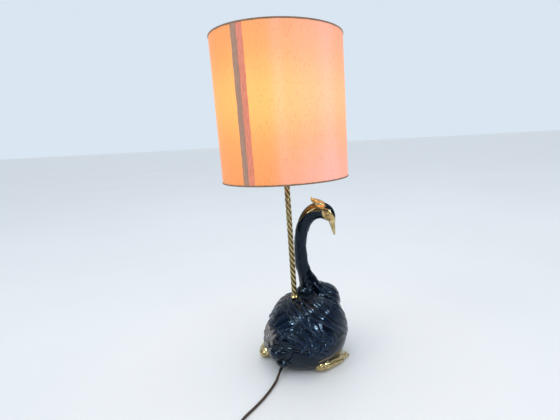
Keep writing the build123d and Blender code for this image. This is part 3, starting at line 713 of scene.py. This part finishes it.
def plume(route, half, high, sink=0.3, barbs=0.07, shaft=0.35, blunt=0.22, root=0.4, free=1):
    """A feather laid on the skin along a route of (heading, height) or (x, y, z): rounded blade, sharp edges,
    a fine raised shaft and slanting barbs. It rises from its root to its tip and towards its free edge, and
    lies over the feathers laid before it."""
    line, normal = snapped(catmull([on_body(*p) if len(p) == 2 else p for p in route], 7))
    along = np.gradient(line, axis=0)
    along /= np.linalg.norm(along, axis=1)[:, None]
    across = np.cross(along, normal)
    across /= np.linalg.norm(across, axis=1)[:, None]
    run = np.concatenate([[0], np.cumsum(np.linalg.norm(np.diff(line, axis=0), axis=1))])
    near = around(line, half * 1.4)
    if not len(near):
        return
    i = ((skin[near][:, None, :] - line[None, :, :]) ** 2).sum(2).argmin(1)
    off = skin[near] - line[i]
    s = run[i] + (off * along[i]).sum(1)
    side = (off * across[i]).sum(1)
    deep = np.abs((off * normal[i]).sum(1))
    t = np.clip(s / run[-1], 0, 1)
    end = np.clip((t - (1 - blunt)) / blunt, 0, 1)
    width = half * (root + (1 - root) * step(t, 0, 0.45)) * np.sqrt(np.clip(1 - end ** 2, 0, 1))
    width = np.where((s < -half * 0.2) | (s > run[-1] + 0.3), 0, width)
    u = side / np.maximum(width, 0.05)
    keep = (np.abs(u) < 1) & (width > 0.4) & (deep < half * 1.2)
    dome = np.sqrt(np.clip(1 - u * u, 0, 1))
    h = high * (sink + (1 - sink) * t ** 0.8) * (0.3 + 0.7 * dome) * (0.76 + 0.24 * free * u)
    h += shaft * bell(side, 0, 0.9) * (1 - end)
    h += barbs * np.sin(2 * pi * (0.42 * s - np.abs(side)) / 2.9) * dome
    raised[near] = np.where(keep & (h > raised[near] - 2.2), h, raised[near])


def both_wings(route, *sizes):
    """A feather on the right wing, and its copy on the left wing as far as the back's middle allows."""
    plume(route, *sizes)
    far = [(2 * TAIL_AZ - az, z) for az, z in route if az > -88]
    if len(far) > 2:
        plume(far, *sizes, free=-1)


# each feather: half width, height, sunk root, barbs, shaft, (blunt tip, root width), then its route
FLANK = [
    (16, 1.1, 0.3, 0.05, 0.1, [(-98, 48), (-84, 40), (-72, 28), (-64, 18)]),
    (17, 1.3, 0.3, 0.06, 0.2, [(-58, 66), (-44, 58), (-30, 50), (-16, 46), (-2, 46)]),
    (6, 1.2, 0.3, 0.05, 0.3, [(-62, 82), (-47, 79), (-33, 79), (-19, 82)]),
    (5, 1.8, 0.3, 0.05, 0.2, [(-84, 66), (-76, 58), (-70, 48)]),
    (14, 2.6, 0.5, 0.14, 0.5, [(-134, 86), (-120, 89), (-108, 90), (-95, 88), (-82, 78), (-70, 62),
        (-60, 46)])]
# long feathers that sweep down and forwards
MIDDLE_ROW = [
    (9.5, 2.8, 0.5, 0.07, 0.4, [(-128, 104), (-112, 100), (-98, 91), (-86, 78), (-74, 62), (-64, 50)]),
    (7, 4, 0.5, 0.07, 0.6, [(-122, 128), (-114, 124), (-101, 116), (-87, 102), (-75, 83), (-65, 67)]),
    (5, 4.8, 0.5, 0.07, 0.7, [(-107, 132), (-100, 127), (-91, 114), (-80, 98), (-70, 81), (-60, 64)]),
    (4.6, 5, 0.6, 0.08, 0.9, [(-124, 119), (-117, 114), (-105, 103), (-95, 94), (-84, 82), (-72, 70),
        (-62, 60), (-54, 50)]),
    (3.6, 5.4, 0.3, 0.05, 0.6, [(-96, 108), (-86, 96), (-77, 84)])]
# soft plumes and round lobes over the tail, turning back to the left
TAIL_LOBES = [
    (9, 3.2, 0.6, 0.07, 0.4, [(-168, 152), (-150, 150), (-132, 147), (-115, 140), (-102, 131), (-92, 120)]),
    (8, 3.4, 0.6, 0.07, 0.4, [(-166, 132), (-150, 136), (-134, 136), (-118, 131), (-106, 121), (-97, 108)]),
    (11, 4.2, 0.3, 0.07, 0.3, 0.45, [(-126, 152), (-144, 144), (-154, 128), (-158, 104)]),
    (9.5, 4.6, 0.3, 0.07, 0.3, 0.45, [(-110, 141), (-127, 137), (-139, 121), (-146, 97)]),
    (8, 5, 0.3, 0.07, 0.3, 0.45, [(-103, 130), (-115, 128), (-127, 117), (-136, 98)]),
    (7, 4.4, 0.3, 0.07, 0.3, 0.45, [(-101, 118), (-112, 115), (-122, 104), (-128, 90)])]
# the flowing ridges from the neck's root round the flank
TOP_ROW = [
    (7.5, 3.4, 0.5, 0.07, 0.6, [(-116, 170), (-88, 162), (-69, 146), (-54, 130), (-38, 106), (-24, 84),
        (-12, 64)]),
    (4.6, 4.2, 0.5, 0.07, 0.8, [(-101, 167), (-74, 154), (-58, 137), (-43, 113), (-27, 84), (-15, 64)]),
    (5.2, 4.3, 0.5, 0.07, 0.8, [(-94, 172), (-80, 169), (-62, 159), (-49, 143), (-34, 118), (-18, 90),
        (-7, 70), (4, 52)]),
    (4.8, 4.5, 0.5, 0.07, 0.9, [(-70, 172), (-61, 167), (-50, 154), (-37, 134), (-21, 104), (-9, 82),
        (3, 62)]),
    (4.2, 4.5, 0.5, 0.07, 0.9, [(-52, 172), (-43, 162), (-34, 146), (-22, 124), (-11, 103), (0, 82),
        (11, 62)]),
    (3.6, 4.7, 0.5, 0.07, 0.9, [(-47, 170), (-36, 157), (-24, 140), (-13, 117), (-2, 95), (9, 74)]),
    (4.2, 4.3, 0.5, 0.07, 0.8, [(-30, 172), (-24, 158), (-14, 142), (-4, 121), (7, 98), (18, 76)])]
# the great wing feather's rolled edge, and the shell-shaped feather beside it
GREAT_FEATHERS = [
    (13, 3.4, 0.35, 0.2, 0.3, 0.3, 0.6, [(-85, 144), (-79, 131), (-70, 119), (-60, 104), (-51, 88),
        (-44, 74)]),
    (5, 4.2, 0.3, 0.15, 0.4, 0.5, [(-84, 120), (-74, 108), (-66, 94)]),
    (3.4, 5.6, 0.7, 0.05, 0.9, [(-86, 148), (-81, 141), (-71, 135), (-59, 123), (-47, 107), (-38, 93)]),
    (8, 4.2, 0.7, 0.07, 0.4, [(-150, 165), (-114, 157), (-94, 142), (-81, 126), (-69, 107), (-55, 83),
        (-46, 68)]),
    (3.2, 6, 0.8, 0.04, 0.8, [(-152, 161), (-124, 154), (-107, 144), (-94, 131), (-83, 117), (-73, 101),
        (-61, 83), (-50, 70)]),
    (3.6, 5, 0.3, 0.07, 0.6, [(-118, 170), (-101, 161), (-88, 151), (-78, 140)])]
# feathers that spill over the fold at the neck's root and the hump behind it
FOLD = [
    (5.5, 4.6, 0.6, 0.07, 0.4, 0.3, [(52, 24, 190), (63, 19, 182), (76, 15, 175), (90, 14, 167),
        (103, 18, 158), (113, 22, 144)]),
    (5, 2.4, 0.2, 0.07, 0.4, 0.4, [(10, 18, 192), (20, 9, 192), (34, 5, 188), (48, 8, 180)]),
    (4.2, 2.6, 0.2, 0.07, 0.4, 0.4, [(7, 12, 186), (15, 3, 186), (29, -1, 181), (44, 0, 174)]),
    (3.8, 2.6, 0.2, 0.07, 0.4, 0.4, [(6, 8, 178), (13, -2, 177), (26, -7, 172), (42, -8, 166)]),
    (5, 3.6, 0.5, 0.07, 0.4, [(64, 30, 192), (80, 27, 184), (95, 27, 174), (108, 31, 160), (116, 36, 144)]),
    (5, 3, 0.5, 0.07, 0.4, [(72, 42, 192), (88, 41, 184), (103, 42, 170), (113, 46, 154)])]


def breast_rows():
    """Small breast feathers, row over row."""
    for row in range(8):
        z = 34 + 15.5 * row
        for col in range(16):
            az = -14 + 10.8 * col + (5.4 if row % 2 else 0)
            wobble = 2.2 * sin(7.3 * row + 3.1 * col)
            plume([(az + wobble, z + 17), (az + 0.5 * wobble, z + 8), (az, z - 4)], 9, 1.5 + 0.1 * row,
                  barbs=0.1, shaft=0.2, blunt=0.45, root=0.55)


def tail_curls():
    """Curls at the tail's sides, fine ones under them, and the rolled tuft at the tip."""
    for k in range(9):
        az, z = -141 - 4.6 * k, 84 + 13 * sin(2.3 * k) + 1.2 * k
        for sign, a in ((1, az), (-1, 2 * TAIL_AZ - az)):
            route = [(a + 6 * sign, z + 14), (a + sign, z + 7), (a - 2 * sign, z - 5), (a + 3 * sign, z - 16)]
            plume(route, 5.6, 7, barbs=0.3, blunt=0.4, free=sign)
    for k in range(6):
        az = -166 - 7 * k
        plume([(az + 4, 70 + 3 * k), (az, 56 + 3 * k), (az + 2, 40 + 2 * k)], 6, 4, barbs=0.2, blunt=0.4)
    plume([(-152, 30), (-139, 29), (-127, 29), (-115, 33), (-106, 38)], 3.2, 2.6, barbs=0.1)
    for k in range(5):
        z = 70 - 7 * k
        route = [(-20 - 2 * k, -94, z - 4), (-40, -90 + k, z + 1), (-58, -76 + k, z + 1), (-70, -58, z - 3)]
        plume(route, 4.2, 2.8 - 0.3 * k, barbs=0.15, blunt=0.3)


def neck_feathers():
    """Long flat feathers down the neck's two sides, small ones round it, and plumes over the hump."""
    for y, side in ((22, -1), (54, 1)):
        plume([(52, y + 2, 388), (38, y, 374), (26, y, 350), (19, y, 318), (18, y, 288), (18, y, 268)],
              6.5, 1.5, 0.5, 0.1, 0.3)
        plume([(34, y, 330), (31, y, 300), (29, y, 262), (32, y, 226)], 5, 1.3, 0.5, 0.1, 0.3)
        plume([(10, y + 4 * side, 282), (10, y + 4 * side, 250), (15, y, 222), (22, y - 2 * side, 200)],
              5.5, 1.5, 0.4, 0.12)
        plume([(22, y, 262), (22, y, 238), (28, y, 214), (38, y - 2 * side, 190)], 5.5, 1.8, 0.4, 0.12)
    upright = np.array(NECK[:9])
    for row in range(9):
        z = 208 + 17 * row
        cx, cy, _, w, t = (np.interp(z, upright[:, 2], column) for column in upright.T)
        for col in range(8):
            a = radians(45 * col + 22.5 * (row % 2))
            x, y = cx + w * cos(a), cy + t * sin(a)
            plume([(x, y, z + 12), (x, y, z), (x + 1.5, y, z - 12)], 5.6, 1.5, barbs=0.05, shaft=0.2,
                  blunt=0.4, root=0.6)
    for k in range(7):
        a = radians(-60 + 27 * k)
        plume([(72 + 16 * cos(a), 52 + 16 * sin(a), 192), (72 + 32 * cos(a), 52 + 30 * sin(a), 176),
               (72 + 40 * cos(a), 52 + 38 * sin(a), 152)], 7.5, 2.2, barbs=0.22, blunt=0.4)


# later feathers lie over earlier ones, so this order counts
breast_rows()
for *sizes, route in FLANK + MIDDLE_ROW:
    both_wings(route, *sizes)
for *sizes, route in TAIL_LOBES:
    plume(route, *sizes)
for *sizes, route in TOP_ROW + GREAT_FEATHERS:
    both_wings(route, *sizes)
tail_curls()
neck_feathers()
for *sizes, route in FOLD:
    plume(route, *sizes)


# ---------------------------------------------------------------- bird: head, grooves and gilding
CREST_SIDE = [(56, 421), (61, 424), (74, 418), (87, 411), (90, 405), (87, 396), (80, 395), (73, 399),
              (63, 406), (57, 411)]
MASK = [(82, 395), (90, 397), (97, 394), (105, 386), (110, 377), (113, 369), (112, 358), (98, 358),
        (96, 365), (88, 368), (83, 376), (81, 386)]
NAPE = [(54, 409), (63, 403), (74, 396), (80, 391), (72, 390), (61, 390), (47, 386), (37, 380), (29, 370),
        (22, 362), (18, 366), (24, 380), (34, 393), (46, 403)]
EYE = (93.5, 382)
# width, depth and points: the bill's two corners, both sides of the hump, the dimple by the stem
CARVED = [
    (1, 0.9, [(84, 8, 372), (90, 7, 368), (96, 7, 366), (101, 9, 362)]),
    (1, 0.9, [(84, 44, 372), (90, 43, 368), (96, 41, 366), (101, 36, 362)]),
    (3, 8.5, [(48, 22, 186), (57, 14.5, 176), (69, 9, 168), (83.5, 4.5, 160), (98.5, 7, 153),
        (110, 2, 143)]),
    (3, 5, [(30, 86, 182), (40, 98, 168), (56, 104, 150)]),
    (2.2, 4.2, [(4, -17, 168), (15, -30, 168), (25, -38, 163)])]
# the same as (heading, height) between the wing's feathers, on both wings
WING_GROOVES = [
    (1.5, 3, [(-150, 155), (-128, 149), (-112, 139), (-99, 126), (-88, 112), (-78, 96), (-66, 78)]),
    (1.2, 1.8, [(-122, 111), (-109, 99), (-98, 90), (-87, 78), (-75, 65), (-65, 55)]),
    (1.3, 2, [(-88, 145), (-87, 138), (-82, 124), (-72, 105), (-62, 88), (-54, 74)]),
    (1.7, 1.8, [(-113, 79), (-103, 77), (-94, 75), (-85, 71)]),
    (1.4, 1.3, [(-105, 71), (-97, 69), (-90, 66)]),
    (1.4, 1.6, [(-124, 100), (-134, 108), (-143, 100), (-150, 104)])]
HEM_W = 1.4
HEM_LINES = ([(-70, 35), (-61, 37.5), (-51, 37.5), (-42, 36.5), (-35, 35)],
             [(-158, 33), (-165, 37), (-178, 40), (-192, 38)])


def near_line(points, reach, per_span=8):
    """Numbers of the vertices within reach of a line near the skin, and their squared distances from it."""
    line = snapped(catmull(points, per_span))[0]
    near = around(line, reach)
    return near, ((skin[near][:, None, :] - line[None, :, :]) ** 2).sum(2).min(1)


def carve(width, deep, points):
    """A groove along given points near the skin."""
    near, gap2 = near_line(points, 3 * width)
    raised[near] -= deep * np.exp(-gap2 / (width * width))


x, y, z = skin.T
on_head = step(z, 345, 352)
stem_clear = np.clip(step(np.hypot(x, y), 11, 17) + step(z, 182, 190) + (1 - step(z, 150, 160)), 0, 1)
under = (np.hypot(x - AXIS[0] - lean(z), y - AXIS[1]) < body_r(z) - 4) & (z < 50)
raised[under] = 0
mask_side = inside_polygon(x, z, MASK) * (z > 350)
nape_side = inside_polygon(x, z, NAPE, 1.6)
crest_side = inside_polygon(x, z, CREST_SIDE)
eye_r = np.hypot((x - EYE[0]) * 0.92, z - EYE[1])
eye_relief = 0.9 + 0.9 * bell(eye_r, 5.6, 1.1) - 0.7 * bell(eye_r, 3.9, 0.7)
eye_relief += 1.6 * np.clip(1 - (eye_r / 3.6) ** 2, 0, 1)
nape_lines = 0.13 * np.sin(1.15 * (0.78 * (x - 60) + 0.62 * (z - 400)))
raised *= 1 - np.maximum.reduce([mask_side, nape_side, crest_side]) * on_head
raised += (eye_relief * mask_side + 0.8 * crest_side + (0.5 + nape_lines) * nape_side) * on_head
raised *= stem_clear * step(z, 3, 9)
for width, deep, points in CARVED:
    carve(width, deep, points)
for width, deep, route in WING_GROOVES:
    carve(width, deep, [on_body(*q) for q in route])
    far = [on_body(2 * TAIL_AZ - q[0], q[1]) for q in route if q[0] > -90]
    if len(far) > 2:
        carve(width, deep, far)
set_coords(bird.data, skin + outward * raised[:, None])
softened(bird, 0.35, 1)

hem = np.zeros(len(skin))
for route in HEM_LINES:
    near, gap2 = near_line([on_body(*q) for q in route], 4 * HEM_W, 10)
    hem[near] = np.maximum(hem[near], 0.85 * np.exp(-gap2 / HEM_W ** 2))
heading = np.degrees(np.arctan2(y - AXIS[1], x - AXIS[0] - lean(z)))
heading = np.where(heading > 63, heading - 360, heading)
umber = step(heading, -188, -174) * (1 - step(heading, -138 - 0.12 * np.abs(z - 80), -132)) * step(z, 52, 64)
umber *= 1 - step(z, 98, 110)
high_umber = step(heading, -210, -190) * (1 - step(heading, -170, -150)) * step(z, 128, 146) * 0.7
gilding = np.maximum.reduce([mask_side, crest_side, nape_side * 0.96]) * on_head
gilding += 0.9 * hem - 0.85 * bell(eye_r, 3.8, 0.55) * mask_side - 0.8 * (eye_r < 1.6)
paint(bird.data, "gold", np.clip(gilding, 0, 1))
paint(bird.data, "copper", nape_side * (1 - crest_side) * on_head)
# the relief also darkens the glaze in the grooves: pooled glaze and painted shade
paint(bird.data, "relief", np.clip(raised / 5.5, 0, 1))
paint(bird.data, "umber", np.maximum(umber, high_umber) * step(raised, 0.6, 2.6) * (z < 176))
piece(bird, "base", ["bird_casting"], FINISH["glaze"])

BEAK = [(103.5, 19.4, 374, 8, 10.5), (105, 19, 366, 7.6, 10), (106.5, 18.2, 356, 5.8, 7.6),
        (107.8, 17.2, 345, 4.4, 5.6), (109.2, 16.3, 335, 3.3, 4.1), (110, 15.8, 329, 2.4, 2.9),
        (110.2, 15.5, 326, 1.2, 1.4)]
CREST = [(95, 22.5, 397, 4, 2.6), (88, 24.5, 402.5, 9.5, 5.6), (80, 26, 407, 12.5, 7.2),
         (71, 27.2, 410.5, 12.5, 7.8), (63.5, 28, 414, 9.5, 6.6), (59, 28.6, 417.5, 5, 4.4),
         (57, 28.9, 421.5, 2, 2.2), (56.5, 29, 425, 0.8, 0.9)]


def beak_relief(x, y, z):
    """The mouth's line and the nostril, pressed in."""
    mouth = bell(x, 105.2 + (366 - z) * 0.02, 0.8) * step(z, 330, 336)
    return -0.75 * mouth - 0.9 * bell(np.hypot(x - 109.5, (z - 360) * 0.45), 0, 1)


def crest_relief(x, y, z):
    """Slanting barbs on top of the crest."""
    return 0.26 * np.sin(1.5 * (0.85 * (x - 60) - 0.5 * np.abs(y - 26))) * step(z, 404, 409)


for name, stations, relief in (("bird_beak", BEAK, beak_relief), ("bird_crest", CREST, crest_relief)):
    form = fused(name, [tube(catmull(stations, 5), ACROSS, 28)], 0.8, 2)
    p = coords(form.data)
    set_coords(form.data, p + vertex_rows(form.data, "normal") * relief(*p.T)[:, None])
    piece(form, "base", ["bird_casting"], FINISH["gold"])


# ---------------------------------------------------------------- bird: feet
TOES = [[(86, -43, 10), (100, -31, 9.5), (113, -17, 8), (123, -4, 6), (127, 3, 5)],
        [(86, -43, 10), (103, -36, 9), (118, -26, 7), (129, -13, 5.4), (132, -7, 5)],
        [(86, -43, 10), (96, -26, 9.5), (106, -10, 8), (113, 4, 6), (116, 11, 5)]]
SHANK = [(63, -67, 14.5, 14, 12.5), (75, -60.5, 13.6, 13.5, 12), (85.5, -51.5, 12.6, 13, 11.2),
         (95, -42, 11.2, 14.5, 10), (103, -32, 9.8, 17, 8.4), (109, -21, 8.5, 15, 6.6)]
FOOT_ACROSS = (0.6, -0.8, 0)


def toe_parts(points):
    """A knuckled toe and its claw."""
    line = catmull(points, 6)
    stations = []
    for t, q in zip(np.linspace(0, 1, len(line)), line):
        w = 4.6 - 1.9 * t + 0.7 * sin(3 * pi * t) ** 2
        stations.append((*q, max(1.2, w * (1 - step(t, 0.9, 1) * 0.6)), max(1.2, w)))
    end, ahead = line[-1], (line[-1] - line[-3]) / np.linalg.norm(line[-1] - line[-3])
    claw = [(*(end - ahead * 2), 2.2, 2.4), (*(end + ahead * 1.6), 1.6, 1.8),
            (*(end + ahead * 3.6 + (0, 0, -1.2)), 0.6, 0.6)]
    return [tube(stations, FOOT_ACROSS, 20), tube(claw, FOOT_ACROSS, 16)]


def web(near_toe, far_toe, cols=9, thick=4.2):
    """Slack skin between two toes."""
    a, b = catmull(near_toe, 5), catmull(far_toe, 5)
    rows, top = len(a) - 4, []
    for i in range(rows):
        for t in np.linspace(0, 1, cols):
            pull = 1 - 0.16 * sin(pi * t) * (i / rows)
            top.append(a[0] + (a[i] * (1 - t) + b[i] * t - a[0]) * pull + (0, 0, 1.5 - 1.2 * sin(pi * t)))
    total, sheet = rows * cols, grid_faces(rows, cols, closed=False)
    rim = list(range(cols)) + [i * cols - 1 for i in range(2, rows + 1)]
    rim += [total - cols + j for j in reversed(range(cols - 1))]
    rim += [i * cols for i in reversed(range(1, rows - 1))]
    faces = sheet + [tuple(k + total for k in f[::-1]) for f in sheet]
    faces += [(f, e, e + total, f + total) for e, f in zip(rim, rim[1:] + rim[:1])]
    return top + [v - (0, 0, thick) for v in top], faces


def mirrored(points):
    """The same points on the bird's left side."""
    side = np.array([sin(radians(FACING)), -cos(radians(FACING)), 0])
    return points - 2 * np.outer(points @ side, side)


def foot(name, left):
    """Folded leg: swollen and dimpled hock, shank, and three toes with a web between them."""
    parts = [egg((56, -58, 21), (20, 16, 16), 40), egg((60.5, -67.5, 15.5), (18.5, 14, 12.6), 38, 4),
             tube(SHANK, FOOT_ACROSS)]
    for toe in TOES:
        parts += toe_parts(toe)
    obj = fused(name, parts + [web(TOES[0], TOES[1]), web(TOES[0], TOES[2])], 0.9, 3)
    p = coords(obj.data)
    x, y, z = p.T
    hock = bell(np.hypot(x - 60, y + 67), 0, 20)
    dimple = np.sin(x * 0.62 + 1.9 * np.sin(z * 0.37)) * np.sin(z * 0.6 + y * 0.45)
    wrinkle = np.sin(0.8 * (0.76 * x + 0.65 * y) + 0.25 * z) * (1 - hock) * 0.16
    p = p + vertex_rows(obj.data, "normal") * (0.9 * dimple * hock + wrinkle)[:, None]
    p[:, 2] = np.maximum(p[:, 2], 0.15 + 0.12 * np.abs(dimple))
    if left:
        p = mirrored(p)
        obj.data.flip_normals()
    set_coords(obj.data, p)
    piece(obj, "base", ["bird_casting"], FINISH["gold"])


foot("bird_foot_right", left=False)
foot("bird_foot_left", left=True)


# ---------------------------------------------------------------- CAD nodes that stay
for row in frame["record"]["subparts"]:
    obj, material = NODES[row["node"]], FINISH[row["material_slot"]]
    if not obj.material_slots:
        obj.data.materials.append(material)
    for s in obj.material_slots:
        s.link = "OBJECT"
        s.material = material
    obj.data.shade_smooth()
    obj.modifiers.new("crisp edges", "EDGE_SPLIT").split_angle = radians(32)
NODES["bulb_glass"].visible_shadow = False


# ---------------------------------------------------------------- stage, light and camera
ROOM_RISE, ROOM_DIM, ROOM_EVEN = 0.62, 0.08, 1.05
# name, place, height looked at, size, watts, colour; the panes show only in reflections
LIGHTS = [
    ("window_left", (-2, -1.2, 2.2), 0.2, (0.42, 0.7), 5, (0.86, 0.94, 1)),
    ("window_right", (2.1, -1.6, 1.9), 0.2, (0.45, 0.6), 4, (0.9, 0.96, 1)),
    ("ceiling", (0.1, 0.3, 3.2), 0, (2.2, 2.2), 9, (1, 0.99, 0.97)),
    ("pane_left", (-1.5, -1.5, 1.5), 0.15, (0.3, 0.75), 34, (0.72, 0.88, 1)),
    ("pane_high", (-0.3, -1.1, 2.3), 0.15, (0.5, 0.35), 30, (0.8, 0.92, 1)),
    ("pane_right", (1.7, -1.3, 1.3), 0.15, (0.25, 0.6), 22, (0.75, 0.9, 1))]
BULB_Z = 0.641
CAMERA_AT = Vector((0.07859, -0.90477, 0.57439))
CAMERA_DOWN, CAMERA_ROLL = radians(11.2202), radians(-3.0246)


def floor_material():
    k = Kit("pale_floor")
    where = k.coord()
    base = k.ramp(k.noise(1.3, 4, 0.5, where), (0.3, (0.80, 0.81, 0.82)), (0.7, (0.83, 0.84, 0.85)))
    fine = k.bump(k.noise(90, 3, 0.6, where), 0.0001, 0.5)
    return k.surface(Base_Color=base, Roughness=0.45, Normal=fine)


def room():
    """A plain backdrop for the camera, even light for matt surfaces, and for reflections a room that is
    bright above and behind the lamp and dim in front of it."""
    k = Kit("room", bpy.data.worlds)
    seen = k.add("Background", Color=(0.70, 0.79, 0.88), Strength=1)
    where = k.add("SeparateXYZ", i0=k.add("TexCoord").outputs["Generated"]).outputs
    overhead = k.add("MapRange", i0=where[2], i1=0.25, i2=0.9)
    behind = k.add("MapRange", i0=where[1], i1=0, i2=0.9)
    strength = k.math("MULTIPLY_ADD", k.math("ADD", overhead, behind), ROOM_RISE, ROOM_DIM)
    glossy = k.add("Background", Color=(0.80, 0.90, 1), Strength=strength)
    matt = k.add("Background", Color=(0.88, 0.94, 1), Strength=ROOM_EVEN)
    path = k.add("LightPath").outputs
    unseen = k.add("MixShader", i0=path["Is Diffuse Ray"], i1=glossy, i2=matt)
    return k.done(k.add("MixShader", i0=path["Is Camera Ray"], i1=unseen, i2=seen), "OutputWorld")


def area_light(name, place, target_z, size, power, colour):
    lamp = bpy.data.lights.new(name, "AREA")
    lamp.shape = "RECTANGLE"
    lamp.size, lamp.size_y = size
    lamp.energy = power
    lamp.color = colour
    obj = link(bpy.data.objects.new(name, lamp))
    obj.location = place
    obj.rotation_euler = (Vector((0, 0, target_z)) - Vector(place)).to_track_quat("-Z", "Y").to_euler()
    obj.visible_diffuse = not name.startswith("pane")


bpy.ops.mesh.primitive_plane_add(size=60, location=(0, 0, 0))
floor = bpy.context.object
floor.name = "floor"
floor.data.materials.append(floor_material())
scene.world = room()
for row in LIGHTS:
    area_light(*row)
glow = bpy.data.lights.new("bulb_glow", "POINT")
glow.energy = 0.9
glow.color = (1, 0.72, 0.42)
glow.shadow_soft_size = 0.02
link(bpy.data.objects.new("bulb_glow", glow)).location = (0, 0, BULB_Z)

level, back = Vector((1, 0, 0)), Vector((0, -cos(CAMERA_DOWN), sin(CAMERA_DOWN)))
above = back.cross(level)
right = level * cos(CAMERA_ROLL) + above * sin(CAMERA_ROLL)
up = above * cos(CAMERA_ROLL) - level * sin(CAMERA_ROLL)
lens = bpy.data.cameras.new("camera")
lens.sensor_width = 36
lens.lens = 24.088
lens.shift_x = -0.0725
lens.clip_end = 100
camera = link(bpy.data.objects.new("camera", lens))
camera.matrix_world = Matrix.Translation(CAMERA_AT) @ Matrix((right, up, back)).transposed().to_4x4()
scene.camera = camera
scene.view_settings.view_transform = "Standard"

bpy.context.view_layer.update()
